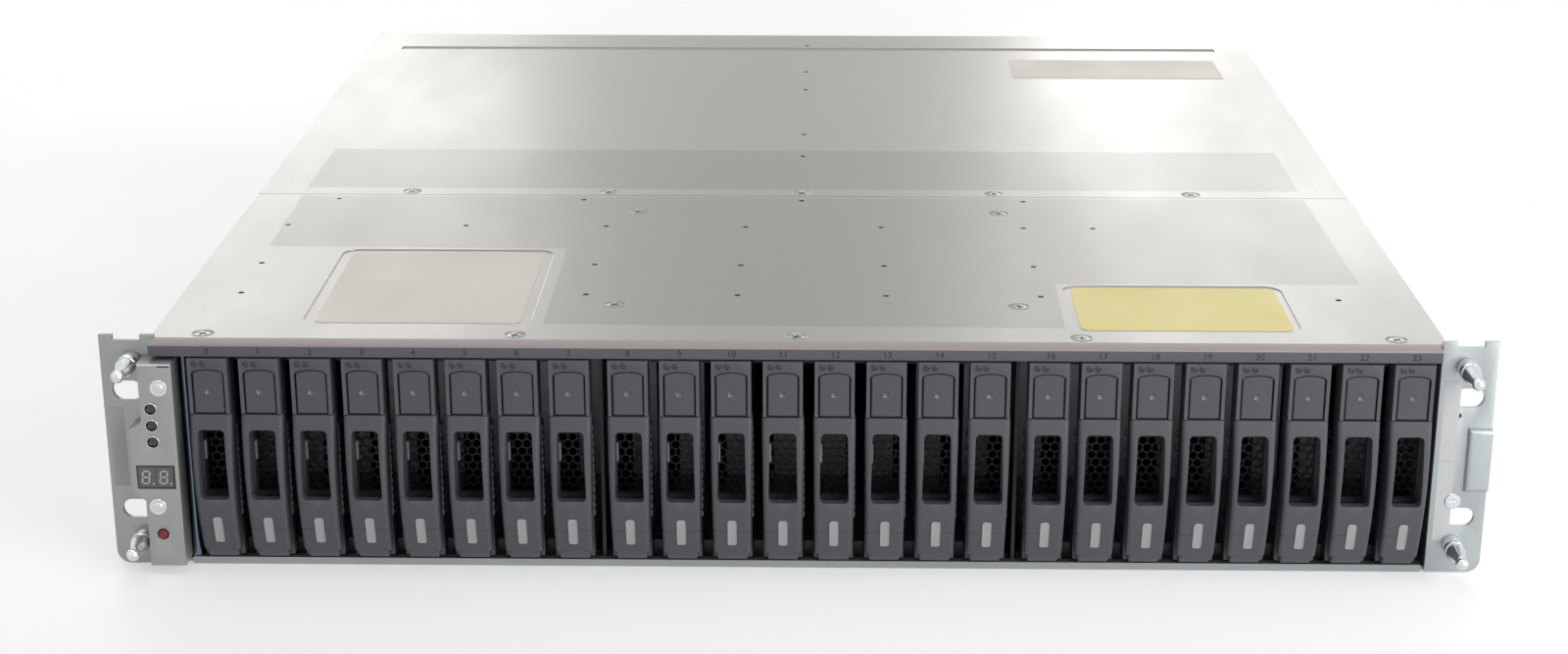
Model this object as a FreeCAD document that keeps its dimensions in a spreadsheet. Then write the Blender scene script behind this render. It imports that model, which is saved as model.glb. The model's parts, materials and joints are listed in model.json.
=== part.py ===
import FreeCAD, Part
import Sketcher
import math
import os
import re

# Disk shelf enclosure, 2 rack units high, with twenty-four upright 2.5 inch drive carriers in front
# and two input/output modules between two power supplies at the back.
# Frame: +X to the right of someone facing the front, +Y to the back, +Z up, millimetres.
# The origin is at the middle of the bounding box's bottom.
# Pieces are drawn with y = 0 on the front of the rack ears, and each finished piece is moved back
# by EAR_FRONT, so a y below 0 stands out in front of the ears.

os.makedirs("parts", exist_ok=True)
doc = FreeCAD.newDocument("DiskShelf")
V = FreeCAD.Vector

SLOTS = 24
GROUP = 8
LEVER_SLOTS = (0, 8, 16, 23)
IO_VENTS = 9
FAN_BLADES = 7
BLADE_PITCH = 48

SIZES = {
    # Chassis
    "chassis_width": 447,
    "chassis_height": 85,
    "chassis_depth": 484,
    "sheet": 1.2,
    "cover_sheet": 1,
    "front_cover_depth": 180,
    "seam_gap": 0.4,
    "lip_height": 2.6,
    "lip_thickness": 3,
    "flange": 8,
    # Rack ears and the studs that take a clip-on bezel
    "ear_reach": 17.8,
    "ear_height": 86,
    "ear_thickness": 2,
    "ear_overlap": 1.5,
    "ear_corner": 5,
    "ear_flange_depth": 55,
    "ear_notch_depth": 2,
    "ear_notch_inset": 4.8,
    "ear_notch_width": 9.5,
    "rack_hole_inset": 8.75,
    "rack_hole_first": 21,
    "rack_hole_step": 44.45,
    "rack_slot_length": 10.4,
    "rack_slot_radius": 3.5,
    "bump_width": 8.3,
    "bump_low": 31,
    "bump_high": 54.4,
    "bump_rise": 2.2,
    "bump_round": 1.76,
    "stud_inset": 10.8,
    "stud_low": 11,
    "stud_high": 77,
    "stud_reach": 20,
    "stud_radius": 3.5,
    "stud_base": 9,
    "stud_neck": -15.2,
    "stud_neck_radius": 1.7,
    "stud_head_radius": 2.3,
    "stud_head_back": -16.4,
    "stud_head_band": 1.8,
    # Slot number rail
    "rail_left_inset": 0.9,
    "rail_right_inset": 2.9,
    "rail_low": 80.4,
    "rail_reach": 6.5,
    "rail_bevel": 0.9,
    # Operator panel on the left ear
    "panel_inset": 9.3,
    "panel_upper_width": 11.8,
    "panel_middle_width": 16.4,
    "panel_lower_width": 12.4,
    "panel_low": 3.5,
    "panel_step_low": 29.5,
    "panel_step_high": 56,
    "panel_top": 79,
    "panel_reach": 10,
    "panel_bevel": 1.4,
    "lamp_inset": 8.2,
    "lamp_low": 50,
    "lamp_step": 6.1,
    "lamp_radius": 1.9,
    "digits_inset": 1.6,
    "digits_width": 13.1,
    "digits_low": 32.7,
    "digits_high": 41.2,
    "id_button_inset": 7.3,
    "id_button_z": 15.5,
    "id_button_radius": 1.7,
    "id_button_travel": 0.8,
    "face_clearance": 0.1,
    "face_setback": 0.3,
    "lamp_rise": 0.3,
    "board": 1.6,
    "board_gap": 4.4,
    # Drive bay
    "slot_pitch": 17.8,
    "group_gap": 2.4,
    "bay_centre": 4.5,
    "bay_front": 3.2,
    "guide_plate": 2.1,
    "guide_rib_height": 4.2,
    "rib_root": 0.05,
    "floor_guide_front": 6.6,
    "edge_roll_radius": 1.65,
    # Drive carrier
    "carrier_width": 13.7,
    "carrier_length": 172,
    "carrier_clearance": 0.3,
    "carrier_rail": 3.3,
    "head_low": 59.6,
    "head_reach": 7,
    "bezel_back": 4,
    "vent_width": 9.8,
    "vent_low": 15,
    "vent_high": 56.5,
    "drive_thickness": 9.5,
    "drive_height": 69.85,
    "drive_length": 100.2,
    "drive_plug_gap": 1.8,
    # Cam lever
    "pivot_y": 1,
    "pivot_z": 8.2,
    "heel_radius": 5,
    "cheek_radius": 4,
    "heel_width": 10.6,
    "trunnion_radius": 1.5,
    "trunnion_width": 13.1,
    "pivot_clearance": 0.05,
    "turning_clearance": 0.35,
    "lever_top_width": 14.6,
    "lever_foot_width": 13.1,
    "lever_top": 59.2,
    "lever_foot": 7.1,
    "lever_back": 1,
    "lever_top_reach": 6.8,
    "lever_foot_reach": 4.2,
    "lever_low_reach": 8.2,
    "lever_high_reach": 9.2,
    "lever_bow_radius": 92,
    "lever_bevel": 1.1,
    "lever_hollow_width": 10.8,
    "lever_hollow_low": 24,
    "lever_hollow_high": 57,
    "lever_hollow_depth": 4.2,
    "window_top_width": 9.2,
    "window_foot_width": 10.2,
    "window_low": 28.2,
    "window_high": 53.8,
    "window_corner": 1.6,
    # Release button
    "button_width": 10.6,
    "button_low": 59.9,
    "button_high": 75.6,
    "button_arch": 17,
    "button_crown": 0.85,
    "button_corner": 0.9,
    "button_reach": 6.8,
    "button_depth": 4.4,
    "button_pocket": 6.8,
    "room_below": 1,
    "button_edge": 0.5,
    # Midplane
    "midplane": 2.4,
    "connector_width": 5.4,
    "connector_depth": 7.1,
    "connector_height": 43,
    "bracket_depth": 14.4,
    "bracket_window_low": 9,
    "bracket_window_high": 74,
    # Rear bays and what slides into them
    "module_gap": 20,
    "module_clearance": 0.3,
    "io_width": 234.6,
    "io_height": 40,
    "io_face": 1.5,
    "io_wall": 1,
    "io_board_low": 7,
    "port_width": 15.4,
    "port_height": 8.4,
    "port_depth": 14,
    "port_wall": 1.2,
    "port_low": 9,
    "port_step": 26,
    "first_port": -62,
    "jack_size": 12,
    "jack_x": 30,
    "io_vent_first": 50,
    "io_vent_step": 6,
    "io_vent_width": 3,
    "io_vent_low": 24,
    "io_vent_high": 34,
    "plug_width": 60,
    "plug_height": 12,
    "io_handle_length": 58,
    "io_handle_low": 22,
    "io_handle_height": 15,
    "io_handle_thickness": 4,
    "io_handle_inset": 6.3,
    "handle_grip_radius": 2.8,
    "handle_pin_radius": 2,
    "handle_boss_radius": 4,
    "supply_width": 102,
    "supply_height": 80.5,
    "supply_wall": 1.2,
    "fan_x": 22,
    "fan_duct_radius": 29,
    "fan_radius": 27.5,
    "fan_hub_radius": 13,
    "fan_depth": 12,
    "fan_setback": 3.5,
    "fan_shaft_radius": 2.5,
    "fan_spoke": 4,
    "blade_thickness": 1.2,
    "blade_chord": 11.5,
    "inlet_x": -31,
    "inlet_z": 20,
    "inlet_width": 27,
    "inlet_height": 19.5,
    "inlet_depth": 18,
    "bail_x": -12,
    "bail_bar": 5,
    "bail_low": 14,
    "bail_high": 66,
    "rear_reach": 16,
    "latch_x": -45.5,
    "latch_length": 17,
    "latch_height": 14,
    "latch_z": 62,
    "latch_thickness": 3,
    "latch_boss_radius": 2.4,
    "latch_tip_radius": 2.1,
    "latch_pin_radius": 1,
    "latch_tab_reach": 4.5,
    # Pressed features of the covers
    "pocket_depth": 0.4,
    "pocket_corner": 6,
    "left_field_left": -174,
    "left_field_right": -93.5,
    "left_field_front": 15.8,
    "left_field_back": 104,
    "right_field_left": 96.5,
    "right_field_right": 176,
    "right_field_front": 11.5,
    "right_field_back": 63.5,
    "bead_y": 452,
    "bead_reach": 207,
    "bead_width": 5,
    "bead_depth": 0.5,
}

sheet = doc.addObject("Spreadsheet::Sheet", "Sizes")
for row, (size_name, size) in enumerate(SIZES.items(), 1):
    sheet.set(f"A{row}", size_name)
    sheet.set(f"B{row}", str(size))
    sheet.setAlias(f"B{row}", size_name)
doc.recompute()

# Places worked out from the sizes
EAR_FRONT = "(stud_reach - chassis_depth - rear_reach) / 2"
SIDE = "chassis_width / 2"
EAR_EDGE = "(chassis_width / 2 + ear_reach)"
INSIDE = "(chassis_width / 2 - sheet)"
UNDER_COVER = "(chassis_height - cover_sheet)"
FLANGE_UNDERSIDE = "(chassis_height - cover_sheet - sheet)"
FLOOR_GUIDE_TOP = "(sheet + guide_plate)"
CARRIER_LOW = "(sheet + guide_plate + carrier_clearance)"
CARRIER_TOP = "(rail_low - turning_clearance)"
HEEL_FLOOR = "(pivot_z - heel_radius)"
DRIVE_LOW = f"({CARRIER_LOW} + carrier_rail + pivot_clearance)"
CONNECTOR_FACE = "(carrier_length - drive_plug_gap + carrier_clearance)"
BAY_BACK = f"({CONNECTOR_FACE} + connector_depth)"
MIDPLANE_BACK = f"({BAY_BACK} + midplane)"
MODULE_FRONT = f"({MIDPLANE_BACK} + module_gap)"
BRACKET_BACK = f"({MIDPLANE_BACK} + bracket_depth)"
FRAME_FACE = "(io_width / 2 + module_clearance)"
LOWER_MODULE = "(sheet + module_clearance)"
SHELF_LOW = "(sheet + 2 * module_clearance + io_height)"
UPPER_MODULE = f"({SHELF_LOW} + sheet + module_clearance)"
SUPPLY_X = f"(({FRAME_FACE} + sheet + {INSIDE}) / 2)"
HANDLE_X = "(io_width / 2 - io_handle_inset)"
RAIL_LEFT = f"(rail_left_inset - {SIDE})"
RAIL_RIGHT = f"({SIDE} - rail_right_inset)"
PANEL_RIGHT = f"(panel_inset - {SIDE})"
LAMP_X = f"({PANEL_RIGHT} - lamp_inset)"
DIGITS_RIGHT = f"({PANEL_RIGHT} - digits_inset)"
DIGITS_LEFT = f"({DIGITS_RIGHT} - digits_width)"
ID_BUTTON_X = f"({PANEL_RIGHT} - id_button_inset)"
PANEL_FRONT = "-panel_reach"
PANEL_BOARD = "(board_gap - panel_reach)"


def formula(text):
    """Let a formula in plain size names read them from the sheet."""
    return re.sub(r"\b[a-z][a-z_]*\b", lambda word: f"Sizes.{word.group()}", str(text))


def bind(thing, property_name, text):
    thing.setExpression(property_name, formula(text))


def seat(thing, x="0", y="0", z="0"):
    """Bind where a piece stands."""
    bind(thing, "Placement.Base.x", x)
    bind(thing, "Placement.Base.y", y)
    bind(thing, "Placement.Base.z", z)
    return thing


def minus(text):
    return f"-({text})"


# ---- Primitives and booleans ----

def block(name, x, y, z):
    """A box between two values along each axis."""
    box = doc.addObject("Part::Box", name)
    for side, (low, high) in zip(("Length", "Width", "Height"), (x, y, z)):
        bind(box, side, f"({high}) - ({low})")
    return seat(box, x[0], y[0], z[0])


ALONG = {
    "X": FreeCAD.Rotation(V(0, 1, 0), 90),
    "Y": FreeCAD.Rotation(V(1, 0, 0), -90),
    "Z": FreeCAD.Rotation(),
}


def rod(name, axis, start, length, radius):
    """A cylinder from a start point along +X, +Y or +Z."""
    cylinder = doc.addObject("Part::Cylinder", name)
    cylinder.Placement = FreeCAD.Placement(V(), ALONG[axis])
    bind(cylinder, "Radius", radius)
    bind(cylinder, "Height", length)
    return seat(cylinder, *start)


def prism(name, axis, start, length, radius, sides):
    """A rod with flat sides."""
    made = doc.addObject("Part::Prism", name)
    made.Polygon = sides
    made.Placement = FreeCAD.Placement(V(), ALONG[axis])
    bind(made, "Circumradius", radius)
    bind(made, "Height", length)
    return seat(made, *start)


def fuse(name, pieces):
    joined = doc.addObject("Part::MultiFuse", name)
    joined.Shapes = pieces
    return joined


def together(name, pieces, x="0", y="0", z="0", rotation=None):
    """Separate solids that stand as one group."""
    group = doc.addObject("Part::Compound", name)
    group.Links = pieces
    if rotation:
        group.Placement = FreeCAD.Placement(V(), rotation)
    return seat(group, x, y, z)


def cut(name, base, tools):
    rest = doc.addObject("Part::Cut", name)
    rest.Base = base
    rest.Tool = tools[0] if len(tools) == 1 else together(f"{name}_tools", tools)
    return rest


NODES = []


def node(name, pieces, x="0", z="0"):
    """A finished sub-part of the shelf."""
    piece = together(name, pieces, x, EAR_FRONT, z)
    piece.Label = name
    NODES.append(piece)
    return piece


# ---- Sketched bodies ----

def new_body(name):
    return doc.addObject("PartDesign::Body", name)


def sketch_on(body, role, name, at):
    """A sketch on one of the body's own planes, moved to a place along the plane's axis."""
    sketch = body.newObject("Sketcher::SketchObject", name)
    plane = [item for item in body.Origin.OriginFeatures if item.Role == role][0]
    sketch.AttachmentSupport = [(plane, "")]
    sketch.MapMode = "FlatFace"
    bind(sketch, "AttachmentOffset.Base.z", minus(at) if role == "XZ_Plane" else at)
    return sketch


def fix_point(sketch, line, end, place):
    """Bind a point of the sketch to two formulas."""
    now = sketch.getPoint(line, end)
    for axis, distance, text in zip("XY", (now.x, now.y), place):
        fixed = Sketcher.Constraint(f"Distance{axis}", -1, 1, line, end, distance)
        index = sketch.addConstraint(fixed)
        sketch.setExpression(f"Constraints[{index}]", formula(text))


def polygon(sketch, corners):
    """A closed outline of straight lines through bound corners."""
    first = sketch.GeometryCount
    count = len(corners)
    turns = [2 * math.pi * corner / count for corner in range(count)]
    ring = [V(math.cos(turn), math.sin(turn), 0) for turn in turns]
    for corner in range(count):
        sketch.addGeometry(Part.LineSegment(ring[corner], ring[(corner + 1) % count]), False)
    for corner in range(count):
        following = first + (corner + 1) % count
        sketch.addConstraint(Sketcher.Constraint("Coincident", first + corner, 2, following, 1))
    for corner, place in enumerate(corners):
        fix_point(sketch, first + corner, 1, place)


def bowed_outline(sketch, corners, starts, radius, bow):
    """Four bound corners joined by three straight lines and one arc.

    The arc runs anticlockwise from the first corner to the second. starts and bow are the corners'
    and the radius's present values, because an arc has to start near its place.
    """
    first, second, third, fourth = [V(x, y, 0) for x, y in starts]
    chord = second - first
    inward = V(-chord.y, chord.x, 0).normalize()
    centre = (first + second) / 2 + inward * math.sqrt(bow ** 2 - chord.Length ** 2 / 4)
    turns = [math.atan2(point.y - centre.y, point.x - centre.x) for point in (first, second)]
    if turns[1] < turns[0]:
        turns[1] += 2 * math.pi
    ring = Part.Circle(centre, V(0, 0, 1), bow)
    sketch.addGeometry(Part.ArcOfCircle(ring, turns[0], turns[1]), False)
    for start, end in ((second, third), (third, fourth), (fourth, first)):
        sketch.addGeometry(Part.LineSegment(start, end), False)
    for line in range(4):
        sketch.addConstraint(Sketcher.Constraint("Coincident", line, 2, (line + 1) % 4, 1))
    for line, place in enumerate(corners[1:], 1):
        fix_point(sketch, line, 1, place)
    fix_point(sketch, 3, 2, corners[0])
    size = sketch.addConstraint(Sketcher.Constraint("Radius", 0, bow))
    sketch.setExpression(f"Constraints[{size}]", formula(radius))


def eight_sided(sketch, centre, reach, outside=False):
    """An octagon inside a circle, or round it."""
    turns = [math.radians(45 * side + 22.5) for side in range(8)]
    factor = 1 / math.cos(math.radians(22.5)) if outside else 1
    polygon(sketch, [
        (f"{centre[0]} + ({reach}) * {factor * math.cos(turn)}",
         f"{centre[1]} + ({reach}) * {factor * math.sin(turn)}") for turn in turns
    ])


def rectangle(sketch, x, y):
    polygon(sketch, [(x[0], y[0]), (x[1], y[0]), (x[1], y[1]), (x[0], y[1])])


def circle(sketch, place, radius):
    """A circle about a bound centre."""
    index = sketch.addGeometry(Part.Circle(V(1, 1, 0), V(0, 0, 1), 1), False)
    fix_point(sketch, index, 3, place)
    size = sketch.addConstraint(Sketcher.Constraint("Radius", index, 1.0))
    sketch.setExpression(f"Constraints[{size}]", formula(radius))


def pad(body, sketch, role, length):
    """Add material from the sketch towards +X, +Y or +Z."""
    feature = body.newObject("PartDesign::Pad", f"{sketch.Name}_pad")
    feature.Profile = sketch
    feature.Reversed = role == "XZ_Plane"
    bind(feature, "Length", length)
    body.Tip = feature
    return feature


def pocket(body, sketch, role, length):
    """Remove material from the sketch towards +X, +Y or +Z."""
    feature = body.newObject("PartDesign::Pocket", f"{sketch.Name}_pocket")
    feature.Profile = sketch
    feature.Reversed = role != "XZ_Plane"
    bind(feature, "Length", length)
    body.Tip = feature
    return feature


def wide(body, role, name, span, draw, remove=False):
    """A pad or pocket between two values along the plane's axis, from an outline drawn by draw."""
    sketch = sketch_on(body, role, name, span[0])
    draw(sketch)
    make = pocket if remove else pad
    return make(body, sketch, role, f"({span[1]}) - ({span[0]})")


def dress(body, kind, feature, size, chosen):
    """Fillet or chamfer the edges of a feature that chosen accepts."""
    doc.recompute()
    names = [f"Edge{n}" for n, edge in enumerate(feature.Shape.Edges, 1) if chosen(edge)]
    dressing = body.newObject(f"PartDesign::{kind}", f"{feature.Name}_{kind.lower()}")
    dressing.Base = (feature, names)
    bind(dressing, "Radius" if kind == "Fillet" else "Size", size)
    body.Tip = dressing
    return dressing


def runs_along(edge, axis):
    """Whether an edge is straight and parallel to an axis."""
    if edge.Curve.TypeId != "Part::GeomLine":
        return False
    return abs(abs(edge.tangentAt(edge.FirstParameter).dot(axis)) - 1) < 1e-6


# ---- Chassis ----

def chassis_tray():
    """Folded floor and side walls, open in front, behind and on top, with a hemmed front lip."""
    body = new_body("tray")

    def channel(sketch):
        polygon(sketch, [
            (minus(SIDE), "0"), (SIDE, "0"),
            (SIDE, UNDER_COVER), (INSIDE, UNDER_COVER),
            (INSIDE, "sheet"), (minus(INSIDE), "sheet"),
            (minus(INSIDE), UNDER_COVER), (minus(SIDE), UNDER_COVER),
        ])

    def lip(sketch):
        rectangle(sketch, (PANEL_RIGHT, RAIL_RIGHT), ("0", "lip_height"))

    def left_flange(sketch):
        rectangle(sketch, (minus(INSIDE), f"flange - {INSIDE}"), (FLANGE_UNDERSIDE, UNDER_COVER))

    def right_flange(sketch):
        rectangle(sketch, (f"{INSIDE} - flange", INSIDE), (FLANGE_UNDERSIDE, UNDER_COVER))

    wide(body, "XZ_Plane", "channel", ("ear_thickness", "chassis_depth"), channel)
    wide(body, "XZ_Plane", "lip", ("0", "lip_thickness"), lip)
    wide(body, "XZ_Plane", "left_flange", (MODULE_FRONT, "chassis_depth"), left_flange)
    wide(body, "XZ_Plane", "right_flange", (MODULE_FRONT, "chassis_depth"), right_flange)
    node("chassis_tray", [body])


def group_edge(group):
    """Middle of the wall at the left of a group of slots."""
    return f"(bay_centre + {GROUP * (group - 1.5)} * slot_pitch + {group - 1.5} * group_gap)"


def label_pocket(name, x, y):
    """A shallow pressed field with round corners."""
    body = new_body(name)
    span = ("chassis_height - pocket_depth", "chassis_height + pocket_depth")
    field = wide(body, "XY_Plane", f"{name}_field", span, lambda sketch: rectangle(sketch, x, y))
    dress(body, "Fillet", field, "pocket_corner", lambda edge: runs_along(edge, V(0, 0, 1)))
    return body


def front_top_cover():
    """Flat cover over the drive bay, with two pressed label fields and room for the ears."""
    plate = block("front_plate", (minus(SIDE), SIDE), ("0", "front_cover_depth"),
                  (UNDER_COVER, "chassis_height"))
    tools = [label_pocket("left_label", ("left_field_left", "left_field_right"),
                          ("left_field_front", "left_field_back"))]
    tools.append(label_pocket("right_label", ("right_field_left", "right_field_right"),
                              ("right_field_front", "right_field_back")))
    inner = f"({SIDE} - ear_overlap)"
    for name, x in (("left", (minus(SIDE), minus(inner))), ("right", (inner, SIDE))):
        corner = block(f"{name}_cover_notch", x, ("0", "ear_thickness"),
                       (UNDER_COVER, "chassis_height"))
        tools.append(corner)
    node("front_top_cover", [cut("front_cover", plate, tools)])


def rear_top_cover():
    """Flat cover over the rear bays, with a pressed bead behind."""
    y = ("front_cover_depth + seam_gap", "chassis_depth")
    plate = block("rear_plate", (minus(SIDE), SIDE), y, (UNDER_COVER, "chassis_height"))
    bead_radius = "((bead_width * bead_width / 4 + bead_depth * bead_depth) / 2 / bead_depth)"
    start = ("-bead_reach", "bead_y", f"chassis_height - bead_depth + {bead_radius}")
    bead = rod("bead", "X", start, "2 * bead_reach", bead_radius)
    node("rear_top_cover", [cut("rear_cover", plate, [bead])])


# ---- Rack ears ----

def rack_slot(name, x, z):
    """A long hole for a rack screw."""
    reach = "(rack_slot_length / 2 - rack_slot_radius)"
    start_y = "-ear_thickness"
    depth = "3 * ear_thickness"
    middle = block(
        f"{name}_middle", (f"{x} - {reach}", f"{x} + {reach}"), (start_y, f"{start_y} + {depth}"),
        (f"{z} - rack_slot_radius", f"{z} + rack_slot_radius"),
    )
    ends = [
        rod(f"{name}_end_{n}", "Y", (f"{x} + {n} * {reach}", start_y, z), depth, "rack_slot_radius")
        for n in (-1, 1)
    ]
    return fuse(name, [middle] + ends)


def rack_ear(side, name):
    """Angle with a slotted front plate, and a flange along the chassis wall. side is 1 or -1."""
    body = new_body(f"{name}_angle")
    edge = f"({side} * {EAR_EDGE})"
    inner = f"({side} * ({SIDE} - ear_overlap))"
    notch = ("ear_height - ear_notch_depth", "ear_height")
    notch_outer = f"{side} * ({EAR_EDGE} - ear_notch_inset)"
    notch_inner = f"{side} * ({EAR_EDGE} - ear_notch_inset - ear_notch_width)"

    def plate(sketch):
        polygon(sketch, [
            (inner, "0"), (edge, "0"), (edge, "ear_height"),
            (notch_outer, notch[1]), (notch_outer, notch[0]),
            (notch_inner, notch[0]), (notch_inner, notch[1]),
            (inner, "ear_height"),
        ])

    def flange(sketch):
        x = (f"{side} * {SIDE}", f"{side} * ({SIDE} + ear_overlap)")
        rectangle(sketch, x, ("lip_height", "rail_low"))

    def outer_corner(edge):
        centre = edge.CenterOfMass
        far = SIZES["chassis_width"] / 2 + SIZES["ear_reach"] - abs(centre.x) < 0.01
        return runs_along(edge, V(0, 1, 0)) and far and centre.z < 1

    front = wide(body, "XZ_Plane", f"{name}_plate", ("0", "ear_thickness"), plate)
    dress(body, "Fillet", front, "ear_corner", outer_corner)
    wide(body, "XZ_Plane", f"{name}_flange", ("ear_thickness", "ear_flange_depth"), flange)
    if side > 0:
        shape_latch_bump(body, edge)
    slots = [
        rack_slot(f"{name}_slot_{n}", f"({side} * ({EAR_EDGE} - rack_hole_inset))",
                  f"(rack_hole_first + {n} * rack_hole_step)")
        for n in (0, 1)
    ]
    node(name, [cut(f"{name}_cut", body, slots)])


def shape_latch_bump(body, edge):
    """The pressed boss of the right ear, round above, below and towards the drives."""
    def boss(sketch):
        rectangle(sketch, (f"{edge} - bump_width", edge), ("bump_low", "bump_high"))

    feature = wide(body, "XZ_Plane", "bump", ("-bump_rise", "0"), boss)

    inner = SIZES["chassis_width"] / 2 + SIZES["ear_reach"] - SIZES["bump_width"]

    def rim(found):
        centre = found.CenterOfMass
        in_front = centre.y < 0.01 - SIZES["bump_rise"]
        upright = runs_along(found, V(0, 0, 1)) and centre.x < inner + SIZES["bump_width"] / 4
        level = runs_along(found, V(1, 0, 0))
        return in_front and (upright or level)

    dress(body, "Fillet", feature, "bump_round", rim)


def bezel_ball_studs():
    """Four turned studs, each a base, a cone and a head, that a clip-on bezel's sockets grip."""
    body = new_body("stud")
    sketch = sketch_on(body, "XY_Plane", "stud_profile", "0")
    nose = "(stud_head_back - stud_head_band + stud_reach)"
    turns = [math.radians(angle) for angle in (45, 90)]
    dome = [
        (f"stud_head_radius * {math.sin(turn)}", f"{nose} * {1 - math.cos(turn)} - stud_reach")
        for turn in turns
    ]
    polygon(sketch, [("0", "-stud_reach")] + dome + [
        ("stud_head_radius", "stud_head_back"), ("stud_neck_radius", "stud_neck"),
        ("stud_radius", "-stud_base"), ("stud_radius", "0"), ("0", "0"),
    ])
    turned = body.newObject("PartDesign::Revolution", "stud_turned")
    turned.Profile = sketch
    turned.ReferenceAxis = (sketch, ["V_Axis"])
    turned.Angle = 360
    body.Tip = turned
    places = [(side, level) for side in (-1, 1) for level in ("stud_low", "stud_high")]
    studs = [
        together(f"stud_{n}", [body], f"{side} * ({EAR_EDGE} - stud_inset)", "0", level)
        for n, (side, level) in enumerate(places)
    ]
    node("bezel_ball_studs", studs)


# ---- Number rail and operator panel ----

def slot_number_rail():
    """Moulded strip that closes the front edge of the top and carries the slot numbers."""
    body = new_body("number_rail")

    def profile(sketch):
        polygon(sketch, [
            ("-rail_reach", "rail_low"), ("0", "rail_low"), ("0", "chassis_height"),
            ("rail_bevel - rail_reach", "chassis_height"),
            ("-rail_reach", "chassis_height - rail_bevel"),
        ])

    wide(body, "YZ_Plane", "number_rail_profile", (RAIL_LEFT, RAIL_RIGHT), profile)
    node("slot_number_rail", [body])


def panel_outline(sketch, inset):
    """The operator panel's stepped outline, drawn a little inwards."""
    left = [f"{PANEL_RIGHT} - {width} + {inset}" for width in
            ("panel_lower_width", "panel_middle_width", "panel_upper_width")]
    low = f"panel_low + {inset}"
    top = f"panel_top - {inset}"
    right = f"{PANEL_RIGHT} - {inset}"
    step_low = f"panel_step_low + {inset}"
    step_high = f"panel_step_high - {inset}"
    polygon(sketch, [
        (left[0], low), (right, low), (right, top), (left[2], top),
        (left[2], f"{step_high} + panel_bevel"), (left[1], f"{step_high} - panel_bevel"),
        (left[1], f"{step_low} + panel_bevel"), (left[0], f"{step_low} - panel_bevel"),
    ])


LAMPS = [f"lamp_low + {n} * lamp_step" for n in range(3)]


def display_cover():
    """Folded steel cover of the operator panel, open behind."""
    body = new_body("panel_box")
    wide(body, "XZ_Plane", "panel_face", (PANEL_FRONT, "0"), lambda s: panel_outline(s, "0"))
    inside = (f"{PANEL_FRONT} + sheet", "0")
    wide(body, "XZ_Plane", "panel_inside", inside, lambda s: panel_outline(s, "sheet"), True)
    tools = []
    depth = "2 * sheet"
    start_y = f"{PANEL_FRONT} - sheet / 2"
    for number, level in enumerate(LAMPS):
        start = (LAMP_X, start_y, level)
        tools.append(rod(f"lamp_hole_{number}", "Y", start, depth, "lamp_radius + carrier_clearance"))
    tools.append(rod("id_button_hole", "Y", (ID_BUTTON_X, start_y, "id_button_z"), depth,
                     "id_button_radius + carrier_clearance"))
    tools.append(block("digits_window",
                       (f"{DIGITS_LEFT} - face_clearance", f"{DIGITS_RIGHT} + face_clearance"),
                       (start_y, f"{start_y} + {depth}"),
                       ("digits_low - face_clearance", "digits_high + face_clearance")))
    node("display_cover", [cut("panel_cover", body, tools)])


def display_board():
    """Circuit board of the operator panel with its two-digit display."""
    y = (PANEL_BOARD, f"{PANEL_BOARD} + board")
    upper = f"{PANEL_RIGHT} - panel_upper_width + sheet + carrier_clearance"
    right = f"{PANEL_RIGHT} - sheet - carrier_clearance"
    z = ("panel_low + sheet + carrier_clearance", "panel_top - sheet - carrier_clearance")
    plate = block("panel_board", (upper, right), y, z)
    digits = block("digits", (DIGITS_LEFT, DIGITS_RIGHT),
                   (f"{PANEL_FRONT} + face_setback", PANEL_BOARD), ("digits_low", "digits_high"))
    node("display_board", [plate, digits])


def status_lamps():
    """Three short light pipes from the board to the panel's face."""
    length = "board_gap + lamp_rise"
    pipes = [
        prism(f"lamp_{n}", "Y", (LAMP_X, f"{PANEL_FRONT} - lamp_rise", level), length,
              "lamp_radius", 12)
        for n, level in enumerate(LAMPS)
    ]
    node("status_lamps", pipes)


def shelf_id_button():
    """Small round push button under the display."""
    start = (ID_BUTTON_X, f"{PANEL_FRONT} - id_button_travel", "id_button_z")
    length = "board_gap - carrier_clearance"
    cap = rod("id_button", "Y", start, length, "id_button_radius")
    node("shelf_id_button", [cap])


# ---- Drive bay ----

def slot_x(slot):
    return f"bay_centre + {slot - (SLOTS - 1) / 2} * slot_pitch + {slot // GROUP - 1} * group_gap"


def bay_walls():
    """Outer left wall with a rolled front edge, and two inner walls, each with a top flange."""
    walls = []
    for group in range(SLOTS // GROUP):
        middle = group_edge(group)
        face = f"({middle} - sheet / 2)"
        y = ("bay_front", BAY_BACK)
        web = block(f"wall_{group}", (face, f"{face} + sheet"), y, ("sheet", UNDER_COVER))
        flange_y = ("bay_front + 2 * flange", f"{BAY_BACK} - flange")
        shelf = block(f"wall_flange_{group}", (face, f"{face} + flange"), flange_y,
                      (FLANGE_UNDERSIDE, UNDER_COVER))
        pieces = [web, shelf]
        if group == 0:
            centre_y = "bay_front + face_clearance - edge_roll_radius"
            start = (middle, centre_y, "lip_height + carrier_clearance")
            length = "rail_low - lip_height - 2 * carrier_clearance"
            pieces.append(rod("edge_roll", "Z", start, length, "edge_roll_radius"))
        walls.append(fuse(f"bay_wall_{group}", pieces))
    node("bay_walls", walls)


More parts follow.
